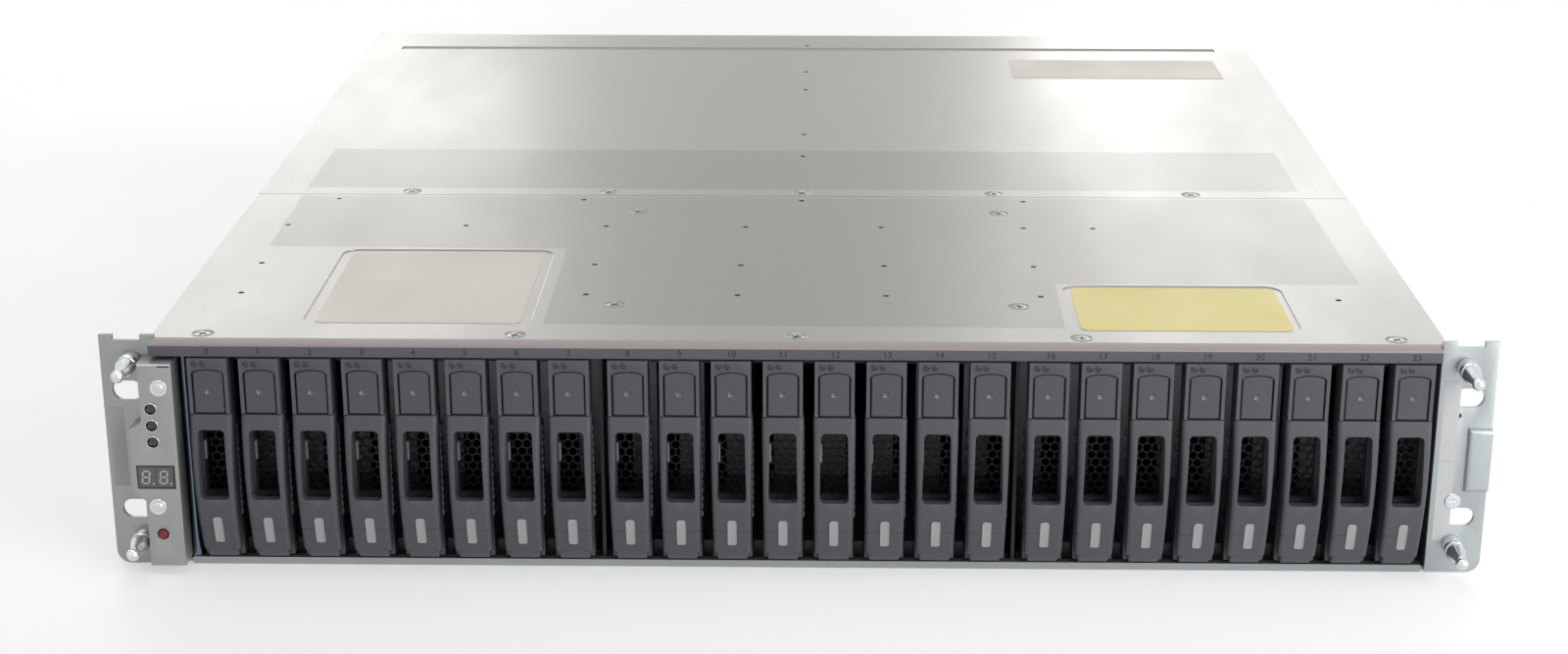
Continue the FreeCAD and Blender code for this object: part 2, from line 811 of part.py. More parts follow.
def guide(name, front, plate, ribs):
    """A plate for one group of slots with a rib between each two carriers."""
    body = new_body(name)
    half = f"{GROUP / 2} * slot_pitch"
    rib_half = "((slot_pitch - carrier_width) / 2 - carrier_clearance)"
    first = f"-{GROUP / 2 - 1} * slot_pitch"

    def base(sketch):
        rectangle(sketch, (minus(half), half), plate)

    def rib(sketch):
        rectangle(sketch, (f"{first} - {rib_half}", f"{first} + {rib_half}"), ribs)

    y = (front, BAY_BACK)
    wide(body, "XZ_Plane", f"{name}_base", y, base)
    first_rib = wide(body, "XZ_Plane", f"{name}_rib", y, rib)
    row = body.newObject("PartDesign::LinearPattern", f"{name}_row")
    row.Originals = [first_rib]
    across = [item for item in body.Origin.OriginFeatures if item.Role == "X_Axis"][0]
    row.Direction = (across, [""])
    row.Occurrences = GROUP - 1
    bind(row, "Length", f"{GROUP - 2} * slot_pitch")
    body.Tip = row
    return body


def drive_guides():
    """Ribbed plastic guides on the floor and under the cover, a pair for each group of slots."""
    lower = guide("floor_guide", "floor_guide_front", ("sheet", FLOOR_GUIDE_TOP),
                  (f"{FLOOR_GUIDE_TOP} - rib_root", f"{FLOOR_GUIDE_TOP} + guide_rib_height"))
    upper = guide("ceiling_guide", "bay_front", (CARRIER_TOP, FLANGE_UNDERSIDE),
                  (f"{CARRIER_TOP} - guide_rib_height", f"{CARRIER_TOP} + rib_root"))
    pieces = []
    for group in range(SLOTS // GROUP):
        middle = f"bay_centre + {group - 1} * ({GROUP} * slot_pitch + group_gap)"
        pieces.append(together(f"floor_guide_{group}", [lower], middle))
        pieces.append(together(f"ceiling_guide_{group}", [upper], middle))
    node("drive_guides", pieces)


# ---- Drive carrier ----

def button_outline(sketch, gap, gap_now, extra):
    """The button's face seen from the front: straight sides and a gently arched top.

    gap widens the outline all round, and extra lengthens it downwards.
    """
    x = f"(button_width / 2 + {gap})"
    shoulder = f"button_high - button_crown + {gap}"
    corners = [(x, shoulder), (minus(x), shoulder),
               (minus(x), f"button_low - {extra}"), (x, f"button_low - {extra}")]
    side = SIZES["button_width"] / 2 + gap_now
    high = SIZES["button_high"] - SIZES["button_crown"] + gap_now
    low = SIZES["button_low"] - SIZES.get(extra, 0)
    starts = [(side, high), (-side, high), (-side, low), (side, low)]
    bowed_outline(sketch, corners, starts, "button_arch", SIZES["button_arch"])


def plain_button(sketch, gap, extra):
    """The same outline with a top of two straight lines."""
    x = f"(button_width / 2 + {gap})"
    polygon(sketch, [
        (minus(x), f"button_low - {extra}"), (x, f"button_low - {extra}"),
        (x, f"button_high - button_crown + {gap}"), ("0", f"button_high + {gap}"),
        (minus(x), f"button_high - button_crown + {gap}"),
    ])


def sled(name, jointed):
    """Moulded carrier: head with the button's pocket, vented front, lever cheeks and two rails.

    Only a carrier whose lever is a piece of its own gets the pivot's cheeks, bores and heel room.
    """
    body = new_body(name)
    half = "carrier_width / 2"

    def frame(sketch):
        polygon(sketch, [
            ("-head_reach", "head_low"), ("carrier_clearance - lever_back", "head_low"),
            ("carrier_clearance - lever_back", "pivot_z + cheek_radius"),
            ("pivot_y", "pivot_z + cheek_radius"), ("pivot_y", CARRIER_LOW),
            ("carrier_length", CARRIER_LOW), ("carrier_length", f"{CARRIER_LOW} + carrier_rail"),
            ("bezel_back", f"{CARRIER_LOW} + carrier_rail"),
            ("bezel_back", f"{CARRIER_TOP} - carrier_clearance - carrier_rail"),
            ("carrier_length", f"{CARRIER_TOP} - carrier_clearance - carrier_rail"),
            ("carrier_length", f"{CARRIER_TOP} - carrier_clearance"),
            ("-head_reach", f"{CARRIER_TOP} - carrier_clearance"),
        ])

    def cheek(sketch):
        eight_sided(sketch, ("pivot_y", "pivot_z"), "cheek_radius")

    def heel_room(sketch):
        eight_sided(sketch, ("pivot_y", "pivot_z"), "heel_radius + turning_clearance", True)

    def pivot_bore(sketch):
        circle(sketch, ("pivot_y", "pivot_z"), "trunnion_radius + pivot_clearance")

    def vent(sketch):
        rectangle(sketch, ("-vent_width / 2", "vent_width / 2"), ("vent_low", "vent_high"))

    def button_room(sketch):
        button_outline(sketch, "turning_clearance", SIZES["turning_clearance"], "room_below")

    def plain_room(sketch):
        plain_button(sketch, "turning_clearance", "room_below")

    def top_of_room(edge):
        centre = edge.CenterOfMass
        room = SIZES["button_width"] / 2 + SIZES["turning_clearance"]
        at_side = abs(abs(centre.x) - room) < 0.01
        return runs_along(edge, V(0, 1, 0)) and at_side and centre.z > SIZES["button_low"] + 5

    across = (minus(half), half)
    wide(body, "YZ_Plane", f"{name}_frame", across, frame)
    if jointed:
        heel_half = "(heel_width / 2 + turning_clearance)"
        wide(body, "YZ_Plane", f"{name}_cheeks", across, cheek)
        wide(body, "YZ_Plane", f"{name}_heel_room", (minus(heel_half), heel_half), heel_room, True)
        wide(body, "YZ_Plane", f"{name}_pivot_bore", across, pivot_bore, True)
    wide(body, "XZ_Plane", f"{name}_vent", ("-head_reach", "bezel_back"), vent, True)
    room_y = ("-head_reach", "button_pocket - head_reach")
    shape = button_room if jointed else plain_room
    room = wide(body, "XZ_Plane", f"{name}_button_room", room_y, shape, True)
    if jointed:
        dress(body, "Fillet", room, "button_corner + turning_clearance", top_of_room)
    return body


def disk_drive():
    """A 2.5 inch drive on edge between the carrier's rails."""
    back = "carrier_length - drive_plug_gap"
    x = "drive_thickness / 2"
    return block("disk_drive", (minus(x), x), (f"{back} - drive_length", back),
                 (DRIVE_LOW, f"{DRIVE_LOW} + drive_height"))


def cam_lever(name, jointed):
    """Bowed lever that tapers to its foot, with a window, a hollow back and a heel on trunnions.

    A lever that stays in its carrier has only the front of its heel.
    """
    body = new_body(name)
    half = "lever_top_width / 2"

    def bowed_side(sketch):
        top, foot, back = SIZES["lever_top"], SIZES["lever_foot"], -SIZES["lever_back"]
        corners = [("-lever_top_reach", "lever_top"), ("-lever_foot_reach", "lever_foot"),
                   ("-lever_back", "lever_foot"), ("-lever_back", "lever_top")]
        starts = [(-SIZES["lever_top_reach"], top), (-SIZES["lever_foot_reach"], foot),
                  (back, foot), (back, top)]
        bowed_outline(sketch, corners, starts, "lever_bow_radius", SIZES["lever_bow_radius"])

    def flat_side(sketch):
        rise = "(lever_top - lever_foot)"
        polygon(sketch, [
            ("-lever_top_reach", "lever_top"),
            ("-lever_high_reach", f"lever_foot + {rise} * 0.7"),
            ("-lever_low_reach", f"lever_foot + {rise} * 0.3"),
            ("-lever_foot_reach", "lever_foot"),
            ("-lever_back", "lever_foot"), ("-lever_back", "lever_top"),
        ])

    def side_waste(side):
        """What the taper takes off one side, seen from the front."""
        def draw(sketch):
            outside = f"{side} * lever_top_width"
            polygon(sketch, [
                (f"{side} * lever_top_width / 2", "lever_top + 0.01"), (outside, "lever_top + 0.01"),
                (outside, "lever_foot - 1"), (f"{side} * lever_foot_width / 2", "lever_foot - 1"),
            ])
        return draw

    def heel(sketch):
        circle(sketch, ("pivot_y", "pivot_z"), "heel_radius")

    def front_of_heel(sketch):
        back = "(pivot_y - carrier_clearance)"
        angles = [math.radians(angle) for angle in (0, 50, 85)]
        round_front = [
            (f"pivot_y - heel_radius * {math.cos(angle)}", f"pivot_z - heel_radius * {math.sin(angle)}")
            for angle in angles
        ]
        polygon(sketch, round_front + [(back, HEEL_FLOOR), (back, "pivot_z")])

    def trunnion(sketch):
        circle(sketch, ("pivot_y", "pivot_z"), "trunnion_radius")

    def cheek_room(sketch):
        eight_sided(sketch, ("pivot_y", "pivot_z"), "cheek_radius + turning_clearance", True)

    def hollow(sketch):
        x = "lever_hollow_width / 2"
        rectangle(sketch, (minus(x), x), ("lever_hollow_low", "lever_hollow_high"))

    def window(sketch):
        polygon(sketch, [
            ("-window_foot_width / 2", "window_low"), ("window_foot_width / 2", "window_low"),
            ("window_top_width / 2", "window_high"), ("-window_top_width / 2", "window_high"),
        ])

    def front_rim(edge):
        bowed = edge.Curve.TypeId != "Part::GeomLine"
        return bowed and edge.Length > 40 and abs(edge.CenterOfMass.x) > 5

    def window_corner(edge):
        centre = edge.CenterOfMass
        inside = abs(centre.x) < SIZES["window_foot_width"] / 2 + 0.1
        level = min(abs(centre.z - SIZES["window_low"]), abs(centre.z - SIZES["window_high"])) < 0.1
        return runs_along(edge, V(0, 1, 0)) and inside and level

    side = bowed_side if jointed else flat_side
    wide(body, "YZ_Plane", f"{name}_side", (minus(half), half), side)
    reach = ("-2 * lever_top_reach", "lever_back")
    wide(body, "XZ_Plane", f"{name}_left_taper", reach, side_waste(-1), True)
    tapered = wide(body, "XZ_Plane", f"{name}_right_taper", reach, side_waste(1), True)
    if jointed:
        dress(body, "Chamfer", tapered, "lever_bevel", front_rim)
    heel_span = ("-heel_width / 2", "heel_width / 2")
    if jointed:
        left_room = ("-lever_top_width", "-heel_width / 2")
        right_room = ("heel_width / 2", "lever_top_width")
        wide(body, "YZ_Plane", f"{name}_left_cheek_room", left_room, cheek_room, True)
        wide(body, "YZ_Plane", f"{name}_right_cheek_room", right_room, cheek_room, True)
        wide(body, "YZ_Plane", f"{name}_heel", heel_span, heel)
        for side, low, high in (("left", "-trunnion_width / 2", heel_span[0]),
                                ("right", heel_span[1], "trunnion_width / 2")):
            wide(body, "YZ_Plane", f"{name}_{side}_trunnion", (low, high), trunnion)
    else:
        wide(body, "YZ_Plane", f"{name}_heel", heel_span, front_of_heel)
    hollow_y = ("-lever_back - lever_hollow_depth", "0")
    if jointed:
        wide(body, "XZ_Plane", f"{name}_hollow", hollow_y, hollow, True)
    opened = wide(body, "XZ_Plane", f"{name}_window", reach, window, True)
    if jointed:
        dress(body, "Chamfer", opened, "window_corner", window_corner)
    return body


def release_button(name, jointed):
    """Push button with an arched top and, where it is a piece of its own, eased edges."""
    body = new_body(name)

    def face(sketch):
        if jointed:
            button_outline(sketch, "0", 0, "0")
        else:
            plain_button(sketch, "0", "0")

    def shoulder(edge):
        return runs_along(edge, V(0, 1, 0)) and edge.CenterOfMass.z > SIZES["button_low"] + 5

    def front_rim(edge):
        return edge.CenterOfMass.y < 0.01 - SIZES["button_reach"]

    y = ("-button_reach", "button_depth - button_reach")
    slab = wide(body, "XZ_Plane", f"{name}_face", y, face)
    if jointed:
        rounded = dress(body, "Fillet", slab, "button_corner", shoulder)
        dress(body, "Chamfer", rounded, "button_edge", front_rim)
    return body


def drive_carriers():
    """Twenty-four carriers. In some slots the lever and the button are pieces of their own."""
    drive = disk_drive()
    jointed_sled = sled("jointed_sled", True)
    lever = cam_lever("jointed_lever", True)
    button = release_button("jointed_button", True)
    whole = [sled("sled", False), drive, cam_lever("lever", False), release_button("button", False)]
    for slot in range(SLOTS):
        jointed = slot in LEVER_SLOTS
        node(f"drive_carrier_{slot:02d}", [jointed_sled, drive] if jointed else whole, slot_x(slot))
        if jointed:
            node(f"cam_lever_{slot:02d}", [lever], slot_x(slot))
            node(f"release_button_{slot:02d}", [button], slot_x(slot))


# ---- Midplane and rear frame ----

def midplane():
    """Board across the whole bay with a connector for each drive and vents between them."""
    left = f"{group_edge(0)} + sheet / 2"
    x = (left, f"{INSIDE} - module_clearance")
    z = ("2 * sheet", f"{UNDER_COVER} - sheet")
    board = block("midplane_plate", x, (BAY_BACK, MIDPLANE_BACK), z)
    vents = []
    for slot in range(1, SLOTS - 1, 2):
        centre = f"({slot_x(slot)} + slot_pitch / 2)"
        span = (f"{centre} - slot_pitch / 5", f"{centre} + slot_pitch / 5")
        vents.append(block(f"midplane_vent_{slot}", span, (BAY_BACK, MIDPLANE_BACK),
                           ("bracket_window_low + 2 * sheet", "bracket_window_high - 2 * sheet")))
    node("midplane_board", [cut("midplane_vented", board, vents)])
    connectors = []
    half = "connector_width / 2"
    y = (CONNECTOR_FACE, BAY_BACK)
    z = (f"{DRIVE_LOW} + drive_height / 2 - connector_height / 2",
         f"{DRIVE_LOW} + drive_height / 2 + connector_height / 2")
    for slot in range(SLOTS):
        x = (f"{slot_x(slot)} - {half}", f"{slot_x(slot)} + {half}")
        connectors.append(block(f"connector_{slot}", x, y, z))
    node("midplane_connectors", connectors)


def rear_frame():
    """Welded frame: channel behind the midplane, two walls and the shelf between the modules."""
    left = f"{group_edge(0)} + sheet / 2"
    right = f"{INSIDE} - module_clearance"
    across = (left, right)
    web = block("bracket_web", across, (MIDPLANE_BACK, f"{MIDPLANE_BACK} + sheet"), ("sheet", UNDER_COVER))
    y = (f"{MIDPLANE_BACK} + sheet", BRACKET_BACK)
    top = block("bracket_top", across, y, (FLANGE_UNDERSIDE, UNDER_COVER))
    foot = block("bracket_foot", across, y, ("sheet", "2 * sheet"))
    wall_y = (BRACKET_BACK, "chassis_depth - sheet")
    walls = [
        block(f"frame_wall_{n}", (f"{n} * {FRAME_FACE} + {(n - 1) // 2} * sheet",
                                  f"{n} * {FRAME_FACE} + {(n + 1) // 2} * sheet"),
              wall_y, ("sheet", UNDER_COVER))
        for n in (-1, 1)
    ]
    shelf = block("frame_shelf", (minus(FRAME_FACE), FRAME_FACE), (MODULE_FRONT, "chassis_depth - sheet"),
                  (SHELF_LOW, f"{SHELF_LOW} + sheet"))
    whole = fuse("frame_whole", [web, top, foot] + walls + [shelf])
    post = "4 * sheet"
    windows = [
        (f"{left} + {post}", f"-{FRAME_FACE} - {post}"),
        (f"{post} - {FRAME_FACE}", f"{FRAME_FACE} - {post}"),
        (f"{FRAME_FACE} + {post}", f"{right} - {post}"),
    ]
    y = (MIDPLANE_BACK, f"{MIDPLANE_BACK} + sheet")
    z = ("bracket_window_low", "bracket_window_high")
    tools = [block(f"frame_window_{n}", x, y, z) for n, x in enumerate(windows)]
    node("rear_frame", [cut("frame_cut", whole, tools)])


# ---- Input/output modules ----

def port(name, x, width, height):
    """An open connector shell behind the face, and the hole that it takes in the face."""
    half = f"({width} / 2)"
    front = "(chassis_depth - io_face)"
    shell = block(f"{name}_shell", (f"{x} - {half} - port_wall", f"{x} + {half} + port_wall"),
                  (f"{front} - port_depth - port_wall", front),
                  ("port_low - port_wall", f"port_low + {height} + port_wall"))
    mouth = block(f"{name}_mouth", (f"{x} - {half}", f"{x} + {half}"),
                  (f"{front} - port_depth", "chassis_depth + io_face"),
                  ("port_low", f"port_low + {height}"))
    return shell, mouth


def io_module():
    """Open tray with a face plate, two wide ports and a network jack, a board and a plug."""
    half = "io_width / 2"
    y = (MODULE_FRONT, "chassis_depth")
    outer = block("io_outer", (minus(half), half), y, ("0", "io_height"))
    room = block("io_room", (f"io_wall - {half}", f"{half} - io_wall"),
                 (f"{MODULE_FRONT} - io_wall", "chassis_depth - io_face"),
                 ("io_wall", "io_height + io_wall"))
    tray = cut("io_tray", outer, [room])
    ports = [
        port(f"port_{n}", f"(first_port + {n} * port_step)", "port_width", "port_height")
        for n in (0, 1)
    ]
    ports.append(port("jack", "jack_x", "jack_size", "jack_size"))
    top = "(io_board_low + board)"
    rest = block("board_rest", ("-io_wall - plug_width", "io_wall + plug_width"),
                 (f"{MODULE_FRONT} + flange", "chassis_depth - 2 * flange - port_depth"),
                 ("0", "io_board_low"))
    shell = fuse("io_shell", [tray, rest] + [shell for shell, _ in ports])
    vents = []
    for n in range(IO_VENTS):
        x = f"(io_vent_first + {n} * io_vent_step)"
        vents.append(block(f"io_vent_{n}", (x, f"{x} + io_vent_width"),
                           ("chassis_depth - io_face", "chassis_depth"),
                           ("io_vent_low", "io_vent_high")))
    open_shell = cut("io_open_shell", shell, [mouth for _, mouth in ports] + vents)
    board = block("io_board", (f"2 * io_wall - {half}", f"{half} - 2 * io_wall"),
                  (MODULE_FRONT, "chassis_depth - 2 * flange - port_depth"), ("io_board_low", top))
    plug = block("io_plug", ("-plug_width / 2", "plug_width / 2"),
                 (f"{MIDPLANE_BACK} + carrier_clearance", f"{MODULE_FRONT} + flange"),
                 (top, f"{top} + plug_height"))
    pin_y = "chassis_depth + handle_boss_radius + carrier_clearance"
    pin = rod("io_handle_pin", "Z", (HANDLE_X, pin_y, "io_handle_low - 2 * io_wall"),
              "io_handle_height + 4 * io_wall", "handle_pin_radius")
    ears = [
        block(f"io_handle_ear_{n}",
              (f"{HANDLE_X} - handle_boss_radius", f"{HANDLE_X} + handle_boss_radius"),
              ("chassis_depth", "chassis_depth + 2 * handle_boss_radius"),
              (level, f"{level} + io_wall"))
        for n, level in enumerate(("io_handle_low - 2 * io_wall",
                                   "io_handle_low + io_handle_height + io_wall"))
    ]
    body = fuse("io_body", [open_shell, pin] + ears)
    return [body, board, plug]


def io_handle():
    """Cam handle that lies along the module's face and swings out on its pin."""
    y = "(chassis_depth + handle_boss_radius + carrier_clearance)"
    z = "io_handle_low"
    boss = prism("handle_boss", "Z", (HANDLE_X, y, z), "io_handle_height", "handle_boss_radius", 12)
    x = (f"{HANDLE_X} - io_handle_length", HANDLE_X)
    bar = block("handle_bar", x, (f"{y} - io_handle_thickness / 2", f"{y} + io_handle_thickness / 2"),
                (z, f"{z} + io_handle_height"))
    grip = prism("handle_grip", "Z", (x[0], y, z), "io_handle_height", "handle_grip_radius", 8)
    bore = rod("handle_bore", "Z", (HANDLE_X, y, z), "io_handle_height",
               "handle_pin_radius + pivot_clearance")
    return cut("handle", fuse("handle_solid", [boss, bar, grip]), [bore])


def io_modules():
    module = io_module()
    handle = io_handle()
    for name, level in (("lower", LOWER_MODULE), ("upper", UPPER_MODULE)):
        node(f"io_module_{name}", module, "0", level)
        node(f"io_handle_{name}", [handle], "0", level)


# ---- Power supplies ----

FAN_Y = "(chassis_depth - supply_wall - fan_setback)"


def power_supply():
    """Closed steel can with a fan duct, an inlet, a bail handle and a latch pivot in its face."""
    half = "supply_width / 2"
    wall = "supply_wall"
    outer = block("supply_outer", (minus(half), half), (MODULE_FRONT, "chassis_depth"),
                  ("0", "supply_height"))
    room = block("supply_room", (f"{wall} - {half}", f"{half} - {wall}"),
                 (f"{MODULE_FRONT} + {wall}", f"chassis_depth - {wall}"), (wall, f"supply_height - {wall}"))
    can = cut("supply_can", outer, [room])
    middle = "supply_height / 2"
    spokes_y = (f"{FAN_Y} - fan_depth - fan_spoke", f"{FAN_Y} - fan_depth - carrier_clearance")
    upright = block("fan_upright", ("fan_x - fan_spoke / 2", "fan_x + fan_spoke / 2"), spokes_y,
                    ("0", "supply_height"))
    level = block("fan_level", ("fan_x - fan_duct_radius", half), spokes_y,
                  (f"{middle} - fan_spoke / 2", f"{middle} + fan_spoke / 2"))
    shaft = rod("fan_shaft", "Y", ("fan_x", f"{FAN_Y} - fan_depth - fan_spoke", middle), "fan_depth",
                "fan_shaft_radius")
    inlet = block("inlet_shell",
                  ("inlet_x - inlet_width / 2 - port_wall", "inlet_x + inlet_width / 2 + port_wall"),
                  ("chassis_depth - inlet_depth - port_wall", "chassis_depth"),
                  ("inlet_z - inlet_height / 2 - port_wall", "inlet_z + inlet_height / 2 + port_wall"))
    bail_x = ("bail_x - bail_bar / 2", "bail_x + bail_bar / 2")
    posts = [
        block(f"bail_post_{n}", bail_x, ("chassis_depth - supply_wall", "chassis_depth + rear_reach"),
              (f"{z} - bail_bar / 2", f"{z} + bail_bar / 2"))
        for n, z in enumerate(("bail_low", "bail_high"))
    ]
    grip = block("bail_grip", bail_x,
                 ("chassis_depth + rear_reach - bail_bar", "chassis_depth + rear_reach"),
                 ("bail_low - bail_bar / 2", "bail_high + bail_bar / 2"))
    plug = block("supply_plug", ("-plug_width / 2", "plug_width / 2"),
                 (f"{MIDPLANE_BACK} + carrier_clearance", MODULE_FRONT),
                 (f"{middle} - plug_height / 2", f"{middle} + plug_height / 2"))
    pin = rod("latch_pin", "Z",
              ("latch_x", "chassis_depth + latch_thickness", "latch_z - latch_height / 2 - io_wall"),
              "latch_height + 2 * io_wall", "latch_pin_radius")
    tabs = [
        block(f"latch_tab_{n}", ("latch_x - latch_thickness / 2", "latch_x + latch_thickness / 2"),
              ("chassis_depth", "chassis_depth + latch_tab_reach"),
              (f"latch_z + {n} * latch_height / 2 + {n} * carrier_clearance + {(n - 1) // 2} * io_wall",
               f"latch_z + {n} * latch_height / 2 + {n} * carrier_clearance + {(n + 1) // 2} * io_wall"))
        for n in (-1, 1)
    ]
    whole = fuse("supply_whole", [can, upright, level, shaft, inlet, plug, grip, pin] + posts + tabs)
    duct = rod("fan_duct", "Y", ("fan_x", "chassis_depth - supply_wall", middle), "supply_wall",
               "fan_duct_radius")
    socket = block("inlet_socket", ("inlet_x - inlet_width / 2", "inlet_x + inlet_width / 2"),
                   ("chassis_depth - inlet_depth", "chassis_depth + port_wall"),
                   ("inlet_z - inlet_height / 2", "inlet_z + inlet_height / 2"))
    return cut("supply", whole, [duct, socket])


def fan_rotor():
    """Hub with seven pitched blades, bored for its shaft."""
    start = ("0", f"{FAN_Y} - fan_depth", "0")
    hub = prism("fan_hub", "Y", start, "fan_depth", "fan_hub_radius", 3 * FAN_BLADES)
    blade = block("fan_blade", ("fan_hub_radius - blade_thickness", "fan_radius"),
                  ("-blade_thickness / 2", "blade_thickness / 2"),
                  ("-blade_chord / 2", "blade_chord / 2"))
    pitched = together("pitched_blade", [blade], rotation=FreeCAD.Rotation(V(1, 0, 0), BLADE_PITCH))
    middle = f"{FAN_Y} - fan_depth / 2"
    blades = [
        together(f"blade_{n}", [pitched], "0", middle, "0",
                 FreeCAD.Rotation(V(0, 1, 0), 360 * n / FAN_BLADES))
        for n in range(FAN_BLADES)
    ]
    bore = rod("fan_bore", "Y", start, "fan_depth - 2 * blade_thickness",
               "fan_shaft_radius + pivot_clearance")
    return cut("rotor", fuse("rotor_solid", [hub] + blades), [bore])


def supply_latch():
    """Finger latch on an upright pin at the side of the face."""
    y = "(chassis_depth + latch_thickness)"
    low = "(latch_z - latch_height / 2)"
    boss = prism("latch_boss", "Z", ("latch_x", y, low), "latch_height", "latch_boss_radius", 12)
    arm = block("latch_arm", ("latch_x", "latch_x + latch_length"),
                (f"{y} - latch_thickness / 2", f"{y} + latch_thickness / 2"),
                (low, f"{low} + latch_height"))
    tip = prism("latch_tip", "Z", ("latch_x + latch_length", y, low), "latch_height",
                "latch_tip_radius", 8)
    bore = rod("latch_bore", "Z", ("latch_x", y, low), "latch_height",
               "latch_pin_radius + pivot_clearance")
    return cut("latch", fuse("latch_solid", [boss, arm, tip]), [bore])


def power_supplies():
    supply = power_supply()
    rotor = fan_rotor()
    latch = supply_latch()
    low = LOWER_MODULE
    for name, x in (("left", minus(SUPPLY_X)), ("right", SUPPLY_X)):
        node(f"power_supply_{name}", [supply], x, low)
        node(f"supply_fan_{name}", [rotor], f"{x} + fan_x", f"{low} + supply_height / 2")
        node(f"supply_latch_{name}", [latch], x, low)


# ---- Build, check and write ----

def build():
    chassis_tray()
    front_top_cover()
    rear_top_cover()
    rack_ear(-1, "left_rack_ear")
    rack_ear(1, "right_rack_ear")
    bezel_ball_studs()
    slot_number_rail()
    display_cover()
    display_board()
    status_lamps()
    shelf_id_button()
    bay_walls()
    drive_guides()
    drive_carriers()
    midplane()
    rear_frame()
    io_modules()
    power_supplies()
    doc.recompute()


def check():
    """Stop if a feature failed, a pocket took nothing away or a piece isn't a sound solid."""
    for thing in doc.Objects:
        if "Invalid" in thing.State or "Error" in thing.State:
            raise RuntimeError(f"{thing.Name} failed: {thing.State}")
        if thing.TypeId == "PartDesign::Pocket" and thing.BaseFeature:
            if thing.Shape.Volume > thing.BaseFeature.Shape.Volume - 1e-3:
                raise RuntimeError(f"{thing.Name} cut nothing")
    for piece in NODES:
        if piece.Shape.isNull() or not piece.Shape.isValid() or not piece.Shape.Solids:
            raise RuntimeError(f"{piece.Label} isn't a sound solid")


build()
check()
for piece in NODES:
    piece.Shape.exportStep(f"parts/{piece.Label}.step")
print(len(NODES), "nodes")
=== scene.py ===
# %% [markdown]
# # Dressing a disk shelf
# The model arrives as plain solids: folded steel covers, twenty-four drive carriers, rack ears and
# the modules at the back. This lesson gives it the look of the real thing. Each step first says
# what the piece is and how it is made, then makes it. Sizes are written in millimetres, because
# that is how sheet metal and mouldings are drawn, and they become metres as a piece is finished.

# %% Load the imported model
import json
import math
import bmesh
import bpy
from mathutils import Matrix, Vector

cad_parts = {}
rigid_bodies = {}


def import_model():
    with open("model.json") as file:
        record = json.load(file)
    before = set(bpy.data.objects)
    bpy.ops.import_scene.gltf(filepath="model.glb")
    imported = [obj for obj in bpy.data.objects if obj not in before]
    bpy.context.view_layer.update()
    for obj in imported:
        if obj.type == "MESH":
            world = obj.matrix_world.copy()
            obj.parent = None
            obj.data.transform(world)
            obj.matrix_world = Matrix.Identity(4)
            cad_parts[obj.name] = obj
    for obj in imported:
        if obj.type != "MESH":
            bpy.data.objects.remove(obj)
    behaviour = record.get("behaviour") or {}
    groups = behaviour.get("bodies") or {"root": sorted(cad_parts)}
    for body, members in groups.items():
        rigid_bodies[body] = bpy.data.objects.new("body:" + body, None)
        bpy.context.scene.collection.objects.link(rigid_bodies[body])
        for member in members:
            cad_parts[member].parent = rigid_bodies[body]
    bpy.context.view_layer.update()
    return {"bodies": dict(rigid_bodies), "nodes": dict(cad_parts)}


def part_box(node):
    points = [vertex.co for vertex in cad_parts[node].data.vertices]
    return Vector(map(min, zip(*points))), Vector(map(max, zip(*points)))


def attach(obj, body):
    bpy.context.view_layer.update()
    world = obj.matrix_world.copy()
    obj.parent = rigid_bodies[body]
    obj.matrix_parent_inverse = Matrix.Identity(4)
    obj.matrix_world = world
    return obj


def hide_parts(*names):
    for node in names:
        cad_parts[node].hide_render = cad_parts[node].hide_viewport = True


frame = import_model()

# %% [markdown]
# Places come from the solids. The drawing plane is the front face of the rack ears, so a piece that
# is drawn at y = -7 stands 7 mm in front of them. A node's own box gives its middle and its faces,
# and nothing has to be measured twice.

# %% Places taken from the solids
MM = 0.001
EAR_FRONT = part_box("left_rack_ear")[0][1]
SLOTS = range(24)
WORKING = [slot for slot in SLOTS if f"lever_{slot:02d}" in frame["bodies"]]


def span(node):
    """A node's box in drawing millimetres: ((x, x), (y, y), (z, z))."""
    low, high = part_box(node)
    shift = (0, EAR_FRONT, 0)
    return [((low[n] - shift[n]) / MM, (high[n] - shift[n]) / MM) for n in range(3)]


def middle(node, axis=0):
    return sum(span(node)[axis]) / 2


def slot_middle(slot):
    return middle(f"drive_carrier_{slot:02d}")


COVER_TOP = span("front_top_cover")[2][1]
REAR_FACE = 484
print("slot pitch", round(slot_middle(1) - slot_middle(0), 2), "cover at", round(COVER_TOP, 2))

# %% [markdown]
# ## Tools for making pieces
# A piece is drawn as a bmesh in millimetres. One helper finishes it: normals turned outwards, edges
# sharper than a set angle kept crisp, then moved into the shelf and hung on its body. A finished
# piece has its place in its vertices, so its object stays at the origin.

# %% Finish a drawn piece
def keep_crisp(bm, degrees):
    """Shade faces smooth, apart from edges that turn by more than an angle."""
    for face in bm.faces:
        face.smooth = True
    for edge in bm.edges:
        edge.smooth = edge.calc_face_angle(0) < math.radians(degrees)


def add_piece(name, bm, material, body, x=0.0, crisp=28, replaces=()):
    """Turn a drawing into a piece of the shelf, moved sideways by x millimetres."""
    bmesh.ops.recalc_face_normals(bm, faces=bm.faces)
    keep_crisp(bm, crisp)
    mesh = bpy.data.meshes.new(name)
    bm.to_mesh(mesh)
    hang(name, mesh, material, body, x, replaces)


